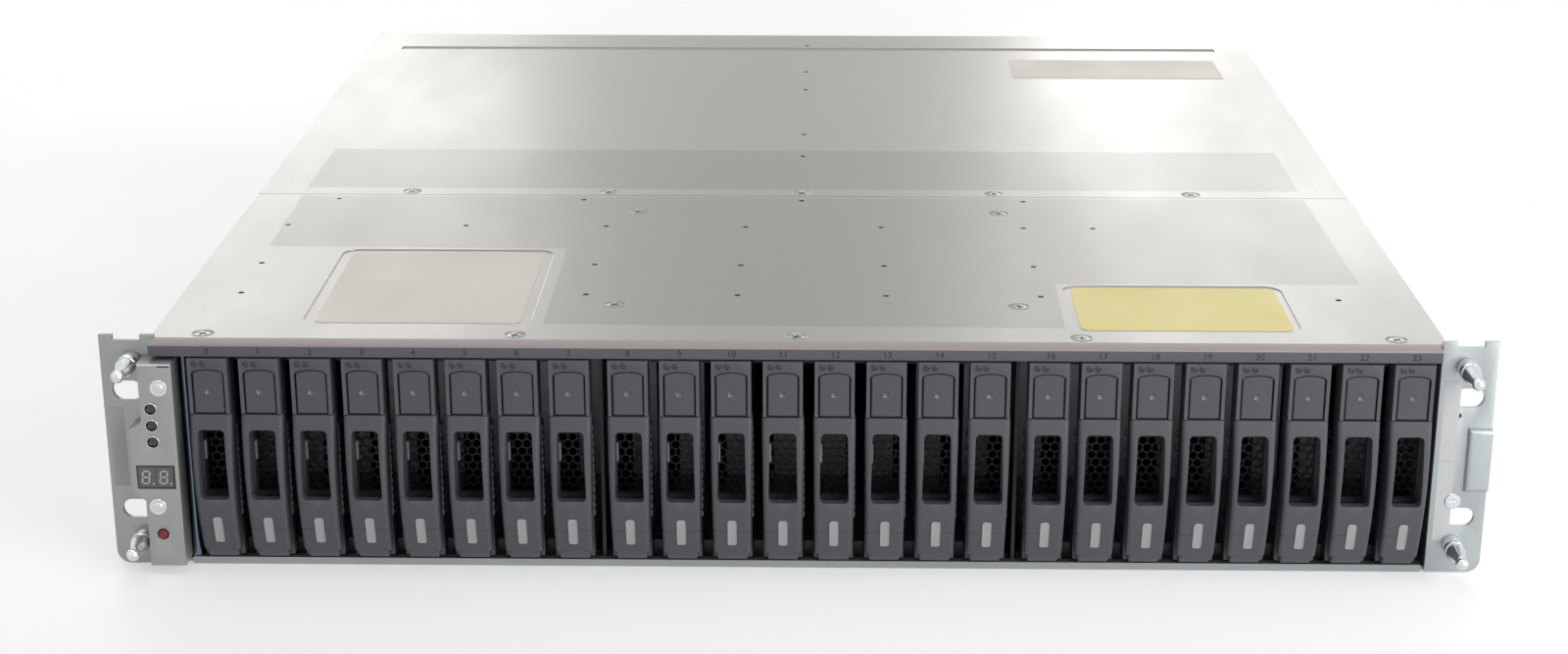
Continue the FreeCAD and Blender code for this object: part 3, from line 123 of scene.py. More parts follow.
def hang(name, mesh, material, body, x=0.0, replaces=()):
    """Move a mesh into the shelf, give it its finish and let it ride on a body."""
    mesh.transform(Matrix.Translation((x * MM, EAR_FRONT, 0)) @ Matrix.Scale(MM, 4))
    piece = bpy.data.objects.new(name, mesh)
    bpy.context.scene.collection.objects.link(piece)
    kept = [face.material_index for face in mesh.polygons]
    mesh.materials.clear()
    for layer in material if isinstance(material, (list, tuple)) else [material]:
        mesh.materials.append(layer)
    mesh.polygons.foreach_set("material_index", [min(n, len(mesh.materials) - 1) for n in kept])
    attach(piece, body)
    if replaces:
        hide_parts(*replaces)


def plain_mesh(mesh_or_bm):
    """A fresh copy of a drawing as a mesh, for pieces that are made many times."""
    if isinstance(mesh_or_bm, bmesh.types.BMesh):
        mesh = bpy.data.meshes.new("drawing")
        mesh_or_bm.to_mesh(mesh)
        return mesh
    return mesh_or_bm.copy()


# %% [markdown]
# Most shapes on sheet metal are one of three kinds: an outline pushed to a thickness, a profile
# turned round an axis, or rows of points joined as a skin. These three helpers draw them all.

# %% Outlines, turned profiles and skins
def rounded(x, z, radius, steps=4):
    """A rectangle's outline with round corners, as points on the x and z axes."""
    points = []
    for cx, cz, start in ((x[1] - radius, z[0] + radius, -90), (x[1] - radius, z[1] - radius, 0),
                          (x[0] + radius, z[1] - radius, 90), (x[0] + radius, z[0] + radius, 180)):
        for step in range(steps + 1):
            turn = math.radians(start + 90 * step / steps)
            points.append((cx + radius * math.cos(turn), cz + radius * math.sin(turn)))
    return points


def push(outline, near, far, axis="y", bm=None):
    """A closed outline pushed from near to far along an axis."""
    bm = bm or bmesh.new()
    place = {"y": lambda u, v, w: (u, w, v), "z": lambda u, v, w: (u, v, w),
             "x": lambda u, v, w: (w, u, v)}[axis]
    rings = [[bm.verts.new(place(u, v, w)) for u, v in outline] for w in (near, far)]
    for ring in rings:
        bm.faces.new(ring)
    count = len(outline)
    for n in range(count):
        m = (n + 1) % count
        bm.faces.new((rings[0][n], rings[0][m], rings[1][m], rings[1][n]))
    return bm


def turned(profile, sides=24, axis="z", centre=(0, 0, 0), bm=None):
    """A profile of (radius, height) points turned round an axis, closed at both ends."""
    bm = bm or bmesh.new()
    rings = []
    for radius, height in profile:
        ring = []
        for side in range(sides):
            turn = 2 * math.pi * side / sides
            u, v = radius * math.cos(turn), radius * math.sin(turn)
            spot = {"z": (u, v, height), "y": (u, height, v), "x": (height, u, v)}[axis]
            ring.append(bm.verts.new(Vector(spot) + Vector(centre)))
        rings.append(ring)
    for end in (rings[0], rings[-1]):
        bm.faces.new(end)
    for low, high in zip(rings, rings[1:]):
        for n in range(sides):
            m = (n + 1) % sides
            bm.faces.new((low[n], low[m], high[m], high[n]))
    return bm


def skin(rows, closed=False, caps=True):
    """Rows of points joined into a skin; closed rows are rings."""
    bm = bmesh.new()
    made = [[bm.verts.new(point) for point in row] for row in rows]
    for low, high in zip(made, made[1:]):
        count = len(low)
        for n in range(count if closed else count - 1):
            m = (n + 1) % count
            bm.faces.new((low[n], low[m], high[m], high[n]))
    if caps and closed:
        for end in (made[0], made[-1]):
            bm.faces.new(end)
    return bm


def soften(bm, width, segments=2, steeper=50, chosen=None):
    """Round the edges that turn by more than an angle."""
    edges = [edge for edge in bm.edges
             if edge.calc_face_angle(0) > math.radians(steeper) and (not chosen or chosen(edge))]
    bmesh.ops.bevel(bm, geom=edges, offset=width, segments=segments, affect="EDGES", profile=0.5,
                    clamp_overlap=True)
    return bm


def as_object(bm, name="workpiece"):
    bmesh.ops.recalc_face_normals(bm, faces=bm.faces)
    mesh = bpy.data.meshes.new(name)
    bm.to_mesh(mesh)
    thing = bpy.data.objects.new(name, mesh)
    bpy.context.scene.collection.objects.link(thing)
    return thing


def carve(base, cutters):
    """Take cutters off a drawing with exact booleans, and return what is left."""
    block = as_object(base)
    tools = [as_object(cutter, "cutter") for cutter in cutters]
    for tool in tools:
        step = block.modifiers.new("carve", "BOOLEAN")
        step.object = tool
        step.solver = "EXACT"
    result = bpy.data.meshes.new_from_object(
        block.evaluated_get(bpy.context.evaluated_depsgraph_get()))
    bm = bmesh.new()
    bm.from_mesh(result)
    for thing in [block] + tools:
        bpy.data.objects.remove(thing)
    bmesh.ops.remove_doubles(bm, verts=bm.verts, dist=0.002)
    return bm


def cross(reach, half, first, second, axis="y", corner=0.1):
    """Two slots that cross, as cutters for a screw head."""
    return [push(rounded((-reach, reach), (-half, half), corner, 1), *first, axis),
            push(rounded((-half, half), (-reach, reach), corner, 1), *second, axis)]


def eased(node, width, chosen=None, steeper=50, segments=2):
    """A solid copied as a drawing, its flat faces joined and its edges rounded a little."""
    solid = frame["nodes"][node]
    bm = bmesh.new()
    bm.from_mesh(solid.data)
    to_drawing = Matrix.Scale(1 / MM, 4) @ Matrix.Translation((0, -EAR_FRONT, 0))
    bm.transform(to_drawing @ solid.matrix_world)
    bmesh.ops.remove_doubles(bm, verts=bm.verts, dist=0.003)
    bmesh.ops.dissolve_limit(bm, angle_limit=math.radians(0.5), verts=bm.verts, edges=bm.edges)
    return soften(bm, width, segments, steeper, chosen)


# %% [markdown]
# ## Camera and studio
# The shelf is shown from the front and a little above, as someone sees it on a bench. The lens is
# long, so the row of carriers stays nearly square. The studio is a pale sweep with soft lamps: one
# stands in front on the right, a weak one on the left, one hangs overhead, and three stand far
# behind, where the top's steel catches them. White walls are seen only by the camera, in
# mirror-like surfaces and through clear ones, so they don't add light to the object.

# %% Camera
camera_data = bpy.data.cameras.new("bench_camera")
camera_data.lens = 59.08
camera_data.sensor_width = 36
camera = bpy.data.objects.new("bench_camera", camera_data)
camera.location = (0.0101, -1.0759, 0.3764)
camera.rotation_euler = (math.pi / 2 - 0.330, 0, 0.017)
bpy.context.scene.collection.objects.link(camera)
bpy.context.scene.camera = camera

# %% Lamps
def soft_lamp(name, place, aim, size, power, colour=(1, 1, 1)):
    data = bpy.data.lights.new(name, "AREA")
    data.shape = "RECTANGLE"
    data.size, data.size_y = size
    data.energy = power
    data.color = colour
    lamp = bpy.data.objects.new(name, data)
    lamp.location = place
    lamp.rotation_euler = (Vector(aim) - Vector(place)).to_track_quat("-Z", "Y").to_euler()
    bpy.context.scene.collection.objects.link(lamp)


soft_lamp("key", (0.85, -0.88, 0.50), (0.18, -0.24, 0.04), (1.1, 0.9), 8.5, (1.0, 0.99, 0.98))
soft_lamp("fill", (-1.4, -1.1, 0.9), (0, -0.1, 0.04), (1.2, 1.0), 0.8, (0.97, 0.985, 1.0))
soft_lamp("over", (-0.2, -0.2, 1.9), (0, 0, 0.05), (1.8, 1.2), 9)
soft_lamp("back_streak", (0.50, 2.1, 0.62), (0.1, 0.1, 0.08), (0.5, 0.9), 3.6)
soft_lamp("back_right", (1.10, 2.1, 0.60), (0.2, 0.1, 0.08), (0.7, 1.0), 3.4)
soft_lamp("back_left", (-0.92, 2.1, 0.60), (-0.2, 0.1, 0.08), (1.1, 1.1), 7.5)


# %% Studio walls and floor
def node_maker(tree):
    """A short way to add a node with its inputs set and linked."""
    def make(kind, settings=None, **inputs):
        made = tree.nodes.new(kind)
        for key, value in (settings or {}).items():
            setattr(made, key, value)
        for key, value in inputs.items():
            socket = made.inputs[int(key[1:])] if key[0] == "i" and key[1:].isdigit() \
                else made.inputs[key.replace("_", " ")]
            if isinstance(value, bpy.types.NodeSocket):
                tree.links.new(value, socket)
            else:
                socket.default_value = value
        return made
    return make


def looked_at(make, kinds):
    """1 for rays of the named kinds, and 0 for all others."""
    rays = make("ShaderNodeLightPath").outputs
    seen = rays[kinds[0]]
    for kind in kinds[1:]:
        seen = make("ShaderNodeMath", {"operation": "MAXIMUM"}, i0=seen, i1=rays[kind]).outputs[0]
    return seen


world = bpy.data.worlds.new("studio")
bpy.context.scene.world = world
world.use_nodes = True
world.node_tree.nodes.clear()
wall = node_maker(world.node_tree)
seen = looked_at(wall, ["Is Camera Ray", "Is Glossy Ray", "Is Transmission Ray"])
dim = wall("ShaderNodeBackground", Color=(0.93, 0.95, 1.0, 1), Strength=0.19)
white = wall("ShaderNodeBackground", Color=(1, 1, 1, 1), Strength=1.0)
both = wall("ShaderNodeMixShader", i0=seen, i1=dim.outputs[0], i2=white.outputs[0])
wall("ShaderNodeOutputWorld", Surface=both.outputs[0])

bpy.context.scene.view_settings.view_transform = "Standard"
print("studio ready")

# %% [markdown]
# ## Finishes
# Nearly every surface here is either zinc-plated sheet or grained plastic. One recipe covers both:
# a broad mottle that shifts the colour, a fine grain that roughens and dents the surface, and for
# steel a set of thin scratches. Patterns are laid on Object coordinates, in metres, so a pattern
# keeps its scale on every piece.

# %% The recipe for a surface
def shade(colour, factor):
    return tuple(min(1.0, channel * factor) for channel in colour[:3]) + (1.0,)


def surface(name, colour, rough, metal=0.0, mottle=(12, 0.08), grain=(900, 0.02),
            stretch=(1, 1, 1), scratches=0.0, spread=0.06, wear=0.0, coat=0.0, speckle=0.0):
    """Mottled colour, uneven gloss and fine relief, with scratches, wear or speckle if wanted."""
    material = bpy.data.materials.new(name)
    material.use_nodes = True
    tree = material.node_tree
    tree.nodes.clear()
    add = node_maker(tree)

    def noise(place, scale, detail, **more):
        return add("ShaderNodeTexNoise", Vector=place, Scale=scale, Detail=detail, **more).outputs

    def ramp(value, low, high, start, end):
        return add("ShaderNodeMapRange", i0=value, i1=low, i2=high, i3=start, i4=end).outputs[0]

    def blend(share, first, second):
        return add("ShaderNodeMix", {"data_type": "RGBA"}, i0=share, i6=first, i7=second).outputs[2]

    place = add("ShaderNodeTexCoord").outputs["Object"]
    laid = add("ShaderNodeMapping", Vector=place, Scale=stretch).outputs[0]
    broad = noise(laid, mottle[0], 5.0, Roughness=0.62)[0]
    tone = blend(broad, shade(colour, 1 - mottle[1]), shade(colour, 1 + mottle[1]))
    fine = noise(laid, grain[0], 3.0, Roughness=0.55)[0]
    gloss = ramp(broad, 0.3, 0.7, rough - spread, rough + spread)
    if speckle:
        tone = blend(ramp(fine, 0.6, 0.72, 0.0, speckle), tone, shade(colour, 1.9))
    if scratches:
        bent = noise(place, 7.0, 2.0)[1]
        moved = add("ShaderNodeMix", {"data_type": "VECTOR"}, i0=0.35, i4=place, i5=bent)
        crack = add("ShaderNodeTexVoronoi", {"feature": "DISTANCE_TO_EDGE"},
                    Vector=moved.outputs[1], Scale=26.0)
        line = ramp(crack.outputs["Distance"], 0.0, 0.006, 1.0, 0.0)
        some = ramp(noise(place, 21.0, 1.0)[0], 0.52, 0.6, 0.0, scratches)
        mark = add("ShaderNodeMath", {"operation": "MULTIPLY"}, i0=line, i1=some).outputs[0]
        tone = blend(mark, tone, shade(colour, 0.62))
    if wear:
        edge = add("ShaderNodeNewGeometry").outputs["Pointiness"]
        tone = blend(ramp(edge, 0.53, 0.62, 0.0, wear), tone, shade(colour, 1.7))
    dent = add("ShaderNodeBump", Strength=1.0, Distance=grain[1] * MM, Height=fine)
    shader = add("ShaderNodeBsdfPrincipled", Base_Color=tone, Roughness=gloss, Metallic=metal,
                 Normal=dent.outputs[0], Coat_Weight=coat)
    add("ShaderNodeOutputMaterial", Surface=shader.outputs[0])
    return material


# %% Steel, plastic and the rest
STEEL = surface("warm_zinc_sheet", (0.305, 0.293, 0.275), 0.36, 0.9, (9, 0.05), (1500, 0.004),
                (1, 0.35, 1), 0.5, 0.06)
LIP_STEEL = surface("worn_zinc_lip", (0.36, 0.385, 0.395), 0.42, 0.8, (40, 0.1), (1200, 0.006),
                    (0.4, 1, 1), 0.3, 0.06)
SHADED_STEEL = surface("shaded_partition", (0.05, 0.052, 0.058), 0.5, 0.6, (30, 0.1), (900, 0.006))
COOL_STEEL = surface("cool_zinc_sheet", (0.45, 0.485, 0.495), 0.4, 0.75, (14, 0.06), (1300, 0.006),
                     (1, 1, 0.4), 0.25, 0.07)
# A darker, less blue copy of cool_zinc_sheet for the left ear and its panel cover: painted shade,
# as they stand away from the key lamp.
SHADED_EAR_STEEL = surface("shaded_zinc_ear", (0.37, 0.377, 0.367), 0.42, 0.75, (14, 0.08), (1300, 0.006),
                     (1, 1, 0.4), 0.3, 0.07)
# Dark blue-grey for the rolled edge: a painted dark reflection in a chrome-like curve.
REFLECTION_ROLL_STEEL = surface("dark_reflection_roll", (0.14, 0.18, 0.24), 0.2, 0.9, (30, 0.12), (800, 0.004),
                     (1, 1, 0.2), 0.0, 0.05)
BRIGHT_ZINC = surface("bright_zinc", (0.66, 0.68, 0.70), 0.2, 1.0, (60, 0.08), (700, 0.006),
                      (1, 0.3, 1), 0.0, 0.06)
SCREW_ZINC = surface("screw_zinc", (0.30, 0.30, 0.295), 0.34, 0.9, (60, 0.1), (700, 0.008))
MOULDED = surface("grained_grey_moulding", (0.092, 0.090, 0.106), 0.47, 0.0, (24, 0.08),
                  (1500, 0.05), spread=0.05, wear=0.35)
MOULDED_DARK = surface("grained_dark_moulding", (0.06, 0.058, 0.066), 0.5, 0.0, (24, 0.1),
                       (1500, 0.05))
RAIL_TOP = surface("sanded_rail_top", (0.43, 0.37, 0.355), 0.55, 0.0, (18, 0.1), (1700, 0.08),
                   speckle=0.45)
BLACK = surface("black_plastic", (0.013, 0.013, 0.014), 0.45, 0.0, (30, 0.2), (1200, 0.02))
# The grille web is far darker than its own grey-brown: painted shade inside the carrier windows.
SHADED_WEB = surface("shaded_grille_web", (0.032, 0.030, 0.028), 0.5, 0.3, (60, 0.25), (900, 0.02))
BOARD = surface("lacquered_board", (0.012, 0.075, 0.035), 0.3, 0.0, (50, 0.25), (600, 0.02),
                coat=0.5)
SILVER = surface("badge_silver", (0.44, 0.435, 0.44), 0.38, 0.3, (160, 0.08), (1100, 0.012))
CREAM = surface("cream_paper", (0.80, 0.74, 0.66), 0.5, 0.0, (25, 0.03), (700, 0.01))
YELLOW = surface("yellow_paper", (0.86, 0.74, 0.27), 0.5, 0.0, (25, 0.03), (700, 0.01))
PAPER = surface("white_paper", (0.72, 0.73, 0.74), 0.5, 0.0, (25, 0.03), (700, 0.01))
# Darker copy of white_paper for the left ear's label: painted shade, and a darker tone that stands
# for the label's print, which is not drawn.
SHADE_AND_PRINT_PAPER = surface("paper_shade_and_print", (0.56, 0.565, 0.55), 0.5, 0.0, (25, 0.05), (700, 0.01))
RED = surface("red_button", (0.25, 0.022, 0.03), 0.35, 0.0, (300, 0.25), (1200, 0.03))
LENS = surface("dark_lens", (0.012, 0.012, 0.014), 0.12, 0.0, (200, 0.3), (900, 0.003), coat=0.6)
# Dark ink for print, and also painted shade: the ear's pinhole and the panel's slit are dark flat
# pieces, not openings.
INK_AND_HOLE_SHADE = surface("dark_ink_and_hole_shade", (0.018, 0.018, 0.02), 0.6, 0.0, (80, 0.15), (900, 0.01))
ORANGE = surface("orange_latch", (0.50, 0.17, 0.03), 0.42, 0.0, (30, 0.1), (1300, 0.04))
SEGMENT = surface("unlit_segment", (0.62, 0.63, 0.64), 0.4, 0.0, (200, 0.1), (900, 0.01))
DIGIT_FACE = surface("digit_face", (0.135, 0.138, 0.142), 0.35, 0.0, (60, 0.12), (900, 0.01))
FLOOR = surface("pale_floor", (0.80, 0.80, 0.79), 0.6, 0.0, (3, 0.01), (200, 0.01))

# %% [markdown]
# The solids keep their shape wherever it is right, and only get a better finish in their material
# slots. Later steps replace the ones that need finer edges or small parts.

# %% Finishes for the solids
NODE_FINISH = {
    "chassis_tray": LIP_STEEL, "front_top_cover": STEEL, "rear_top_cover": STEEL,
    "bay_walls": SHADED_STEEL,
    "rear_frame": STEEL, "left_rack_ear": COOL_STEEL, "right_rack_ear": COOL_STEEL,
    "display_cover": COOL_STEEL, "bezel_ball_studs": BRIGHT_ZINC, "slot_number_rail": MOULDED,
    "display_board": BOARD, "midplane_board": BOARD, "midplane_connectors": BLACK,
    "drive_guides": BLACK, "status_lamps": LENS, "shelf_id_button": RED,
}
KIND_FINISH = {
    "drive_carrier": MOULDED, "cam_lever": MOULDED, "release_button": MOULDED, "io_module": STEEL,
    "io_handle": MOULDED_DARK, "power_supply": STEEL, "supply_fan": BLACK, "supply_latch": ORANGE,
}
for kind, finish in KIND_FINISH.items():
    for name in frame["nodes"]:
        if name.startswith(kind):
            NODE_FINISH[name] = finish
for name, node in frame["nodes"].items():
    for layer in node.material_slots:
        layer.material = NODE_FINISH[name]
print("finished solids", len(NODE_FINISH), "of", len(frame["nodes"]))

# %% The bench
bench = bmesh.new()
push([(-6, -6), (6, -6), (6, 6), (-6, 6)], -0.012, -0.0002, "z", bench)
floor_mesh = bpy.data.meshes.new("bench")
bench.to_mesh(floor_mesh)
floor = bpy.data.objects.new("bench", floor_mesh)
bpy.context.scene.collection.objects.link(floor)
floor_tree = FLOOR.node_tree
paint = node_maker(floor_tree)
glow = paint("ShaderNodeEmission", Color=(1, 1, 1, 1), Strength=0.40)
plain = next(n for n in floor_tree.nodes if n.type == "BSDF_PRINCIPLED")
lifted = paint("ShaderNodeAddShader", i0=plain.outputs[0], i1=glow.outputs[0])
seen = looked_at(paint, ["Is Camera Ray", "Is Glossy Ray"])
mixed = paint("ShaderNodeMixShader", i0=seen, i1=plain.outputs[0], i2=lifted.outputs[0])
end = next(n for n in floor_tree.nodes if n.type == "OUTPUT_MATERIAL")
floor_tree.links.new(mixed.outputs[0], end.inputs[0])
floor_mesh.materials.append(FLOOR)

# %% [markdown]
# ## Geometry Nodes for what repeats
# Three small trees do all the repeating work. One sets a stamp in rows, each second row shifted by
# half a pitch if wanted: that makes grilles and vents. One sets a stamp on given points with a
# random turn: that makes screws. One sets it round a circle: that makes fan guards and blades.
# The result is turned into a plain mesh straight away, so the modifier never stays on a piece.

# %% Trees with named inputs
def new_tree(name, inputs):
    tree = bpy.data.node_groups.new(name, "GeometryNodeTree")
    tree.interface.new_socket("Geometry", in_out="INPUT", socket_type="NodeSocketGeometry")
    tree.interface.new_socket("Geometry", in_out="OUTPUT", socket_type="NodeSocketGeometry")
    keys = {}
    for label, kind, value in inputs:
        socket = tree.interface.new_socket(label, in_out="INPUT", socket_type="NodeSocket" + kind)
        if value is not None:
            socket.default_value = value
        keys[label] = socket.identifier
    entry = tree.nodes.new("NodeGroupInput").outputs
    return tree, keys, entry, node_maker(tree)


def close_tree(tree, add, geometry, entry):
    """Every tree ends in plain geometry with its own finish."""
    real = add("GeometryNodeRealizeInstances", Geometry=geometry)
    dressed = add("GeometryNodeSetMaterial", Geometry=real.outputs[0], Material=entry["Finish"])
    end = tree.nodes.new("NodeGroupOutput")
    tree.links.new(dressed.outputs[0], end.inputs[0])


def rows_tree():
    tree, keys, entry, add = new_tree("stamps_in_rows", [
        ("Stamp", "Object", None), ("Finish", "Material", None), ("Columns", "Int", 3),
        ("Rows", "Int", 5), ("Column step", "Vector", (1, 0, 0)), ("Row step", "Vector", (0, 0, 1)),
        ("Stagger", "Vector", (0, 0, 0)), ("First", "Vector", (0, 0, 0))])
    column = add("GeometryNodeMeshLine", Count=entry["Columns"], Offset=entry["Column step"])
    row = add("GeometryNodeMeshLine", Count=entry["Rows"], Offset=entry["Row step"],
              Start_Location=entry["First"])
    index = add("GeometryNodeInputIndex")
    odd = add("ShaderNodeMath", {"operation": "MODULO"}, i0=index.outputs[0], i1=2.0)
    shift = add("ShaderNodeVectorMath", {"operation": "SCALE"}, i0=entry["Stagger"],
                Scale=odd.outputs[0])
    moved = add("GeometryNodeSetPosition", Geometry=row.outputs[0], Offset=shift.outputs[0])
    grid = add("GeometryNodeInstanceOnPoints", Points=moved.outputs[0], Instance=column.outputs[0])
    points = add("GeometryNodeRealizeInstances", Geometry=grid.outputs[0])
    stamp = add("GeometryNodeObjectInfo", Object=entry["Stamp"])
    stamped = add("GeometryNodeInstanceOnPoints", Points=points.outputs[0],
                  Instance=stamp.outputs["Geometry"])
    close_tree(tree, add, stamped.outputs[0], entry)
    return tree, keys


def scatter_tree():
    tree, keys, entry, add = new_tree("stamps_on_points", [
        ("Stamp", "Object", None), ("Finish", "Material", None), ("Seed", "Int", 7),
        ("Largest turn", "Vector", (0, 0, 3.14))])
    turn = add("FunctionNodeRandomValue", {"data_type": "FLOAT_VECTOR"}, Seed=entry["Seed"],
               i1=entry["Largest turn"])
    stamp = add("GeometryNodeObjectInfo", Object=entry["Stamp"])
    stamped = add("GeometryNodeInstanceOnPoints", Points=entry["Geometry"],
                  Instance=stamp.outputs["Geometry"], Rotation=turn.outputs[0])
    close_tree(tree, add, stamped.outputs[0], entry)
    return tree, keys


def ring_tree():
    tree, keys, entry, add = new_tree("stamps_round_a_circle", [
        ("Stamp", "Object", None), ("Finish", "Material", None), ("Count", "Int", 7),
        ("Step", "Vector", (0, 0.9, 0)), ("Centre", "Vector", (0, 0, 0))])
    line = add("GeometryNodeMeshLine", Count=entry["Count"], Offset=(0, 0, 0),
               Start_Location=entry["Centre"])
    index = add("GeometryNodeInputIndex")
    turn = add("ShaderNodeVectorMath", {"operation": "SCALE"}, i0=entry["Step"],
               Scale=index.outputs[0])
    stamp = add("GeometryNodeObjectInfo", Object=entry["Stamp"])
    stamped = add("GeometryNodeInstanceOnPoints", Points=line.outputs[0],
                  Instance=stamp.outputs["Geometry"], Rotation=turn.outputs[0])
    close_tree(tree, add, stamped.outputs[0], entry)
    return tree, keys


ROWS, SCATTER, RING = rows_tree(), scatter_tree(), ring_tree()
STAMPS = []


def stamp(bm, crisp=38):
    """A small drawing that a tree repeats. It is thrown away at the end."""
    bmesh.ops.recalc_face_normals(bm, faces=bm.faces)
    keep_crisp(bm, crisp)
    thing = as_object(bm, "stamp")
    STAMPS.append(thing)
    return thing


def repeat(kind, values, points=()):
    """Run a tree and return what it made as a plain mesh."""
    tree, keys = kind
    seeds = bpy.data.meshes.new("points")
    seeds.from_pydata([tuple(point) for point in points], [], [])
    host = bpy.data.objects.new("host", seeds)
    bpy.context.scene.collection.objects.link(host)
    step = host.modifiers.new("repeat", "NODES")
    step.node_group = tree
    for label, value in values.items():
        step[keys[label]] = value
    host.data.update()
    made = bpy.data.meshes.new_from_object(
        host.evaluated_get(bpy.context.evaluated_depsgraph_get()))
    bpy.data.objects.remove(host)
    return made


print("trees", [kind[0].name for kind in (ROWS, SCATTER, RING)])

# %% [markdown]
# ## Covers
# Two flat sheets close the top. Each screw sits in a dish pressed into the sheet, and two shallow
# fields take labels. The sheets are drawn again here, because the dishes are too small for the
# solid, and the dished screws are stamped into the openings by the scatter tree.

# %% A dished screw
def draw_dished_screw():
    dish = turned([(0.5, -0.9), (4.2, -0.9), (4.2, 0.0), (4.0, 0.0), (3.5, -0.5), (3.2, -0.55),
                   (3.1, -0.35), (2.7, -0.2), (1.4, -0.1), (1.3, -0.12)], 28)
    return carve(dish, cross(1.7, 0.35, (-0.55, 0.2), (-0.56, 0.21), "z"))


SCREW = stamp(draw_dished_screw(), 30)
FRONT_SCREWS = [(x, 4.7) for x in (-206, -97.4, 0, 98.6, 207)]
SEAM_SCREWS = [(x, 185.2) for x in (-161, -79.5, 0, 79, 160)]
RIVETS = [(x, y) for x in (-65.5, 79.3) for y in (38.8, 156.8)]
FRONT_HOLES = [(x, y) for y in (50, 86) for x in (-202.4, -76.8, -21.8, 32, 88)]
FRONT_HOLES += [(x, 136.2) for x in (-202.4, -132, -76.6, -21.6, 31.8, 87.8, 115)]
FRONT_HOLES += [(x, 173.6) for x in (-189, -88.8, 0.1, 90.3)] + [(194.9, 47.8)]
REAR_HOLES = [(0, y) for y in (242.8, 280.5, 364.5, 402, 460)]


COVER_HALF, SHEET = 223.5, 1
DISH_RADIUS, HOLE_RADIUS, FIELD_DEPTH = 4.2, 1.15, 0.35
THROUGH = (COVER_TOP - 2, COVER_TOP + 1)


def draw_cover(y, fields, dishes, holes, corners=True):
    """A flat sheet with room for dished screws, small holes, label fields and corner notches."""
    plate = push([(-COVER_HALF, y[0]), (COVER_HALF, y[0]), (COVER_HALF, y[1]), (-COVER_HALF, y[1])],
                 COVER_TOP - SHEET, COVER_TOP, "z")
    tools = []
    for radius, sides, places in ((DISH_RADIUS, 28, dishes), (HOLE_RADIUS, 12, holes)):
        tools += [turned([(radius, height) for height in THROUGH], sides, "z", (x, d, 0))
                  for x, d in places]
    tools += [push(rounded(fx, fy, 6), COVER_TOP - FIELD_DEPTH, THROUGH[1], "z")
              for fx, fy in fields]
    if corners:
        tools += [push([(s * 222, -1), (s * 225, -1), (s * 225, 2), (s * 222, 2)], *THROUGH, "z")
                  for s in (-1, 1)]
    return carve(plate, tools)


def put_screws(name, places):
    made = repeat(SCATTER, {"Stamp": SCREW, "Finish": SCREW_ZINC, "Seed": 11},
                  [(x, y, COVER_TOP) for x, y in places])
    return hang(name, made, SCREW_ZINC, "shelf")


LABEL_FIELDS = [((-174, -93.5), (15.8, 104)), ((96.5, 176), (11.5, 63.5))]
front = draw_cover((0, 180), LABEL_FIELDS, FRONT_SCREWS + RIVETS, FRONT_HOLES)
soften(front, 0.3, 2, 60, lambda e: all(v.co.z > COVER_TOP - 0.4 and 5 < v.co.y < 110
                                        and 90 < abs(v.co.x) < 180 for v in e.verts))
add_piece("front_cover_sheet", front, STEEL, "shelf", crisp=12,
          replaces=("front_top_cover",))
rear = draw_cover((180.4, REAR_FACE), [], SEAM_SCREWS, REAR_HOLES, corners=False)
bead = turned([(8, -207), (8, 207)], 40, "x", (0, 452, COVER_TOP + 7.2))
add_piece("rear_cover_sheet", carve(rear, [bead]), STEEL, "shelf", crisp=12,
          replaces=("rear_top_cover",))
put_screws("front_cover_screws", FRONT_SCREWS + RIVETS)
put_screws("seam_screws", SEAM_SCREWS)
print("dished screws", len(FRONT_SCREWS + RIVETS + SEAM_SCREWS))

# %% [markdown]
# A grey protective film lies on both sheets, and on the front one it is cut out round the labels.
# It is a very thin skin of soft plastic, so the steel shows through. The labels are plain paper,
# left bare.

# %% Film and labels
FILM = surface("grey_film", (0.30, 0.30, 0.29), 0.3, 0.0, (10, 0.15), (500, 0.001))
FILM.node_tree.nodes["Principled BSDF"].inputs["Alpha"].default_value = 0.07
FILM_OUTLINES = {
    "front_film": [(-205, 178), (205, 178), (206, 66), (94.5, 65), (93.5, 15), (-89, 16.6),
                   (-89, 106), (-204, 108)],
    "rear_film": [(-205, 190.5), (205, 190.5), (205, 252), (-205, 252)],
}
for name, outline in FILM_OUTLINES.items():
    add_piece(name, push(outline, COVER_TOP + 0.02, COVER_TOP + 0.06, "z"), FILM, "shelf")
FIELD_FLOOR = COVER_TOP - 0.34


def add_label(name, x, y, height, paper, corner):
    sheet = soften(push(rounded(x, y, corner), height, height + 0.12, "z"), 0.04, 1, 60)
    add_piece(name, sheet, paper, "shelf")


add_label("service_label", (-170, -97), (17.8, 101), FIELD_FLOOR, CREAM, 3)
add_label("notice_label", (99.3, 173.5), (13.7, 61.5), FIELD_FLOOR, YELLOW, 3)
add_label("rear_label", (101, 203), (390, 429), COVER_TOP + 0.02, CREAM, 1.5)

# %% [markdown]
# ## Number rail
# A moulded strip closes the front of the top. Its upper face is sanded and lighter, and its front
# carries a number for each slot. The numbers are text objects turned into thin raised meshes.

# %% Rail and its numbers
rail_x, rail_y, rail_z = span("slot_number_rail")
bevel = 0.9
NUMBER_HEIGHT, NUMBER_Z = 2.25, 82.2
side = [(rail_y[0], rail_z[0]), (rail_y[1], rail_z[0]), (rail_y[1], rail_z[1] - 0.01),
        (rail_y[0] + bevel, rail_z[1] - 0.01), (rail_y[0] + 0.25, rail_z[1] - 0.25),
        (rail_y[0], rail_z[1] - bevel)]
rail = push(side, rail_x[0], rail_x[1], "x")
bmesh.ops.recalc_face_normals(rail, faces=rail.faces)
rail.normal_update()
for face in rail.faces:
    if face.normal.z > 0.7 or face.calc_center_median().z > rail_z[1] - 0.6:
        face.material_index = 1
add_piece("number_rail", rail, [MOULDED, RAIL_TOP], "shelf",
          replaces=("slot_number_rail",))


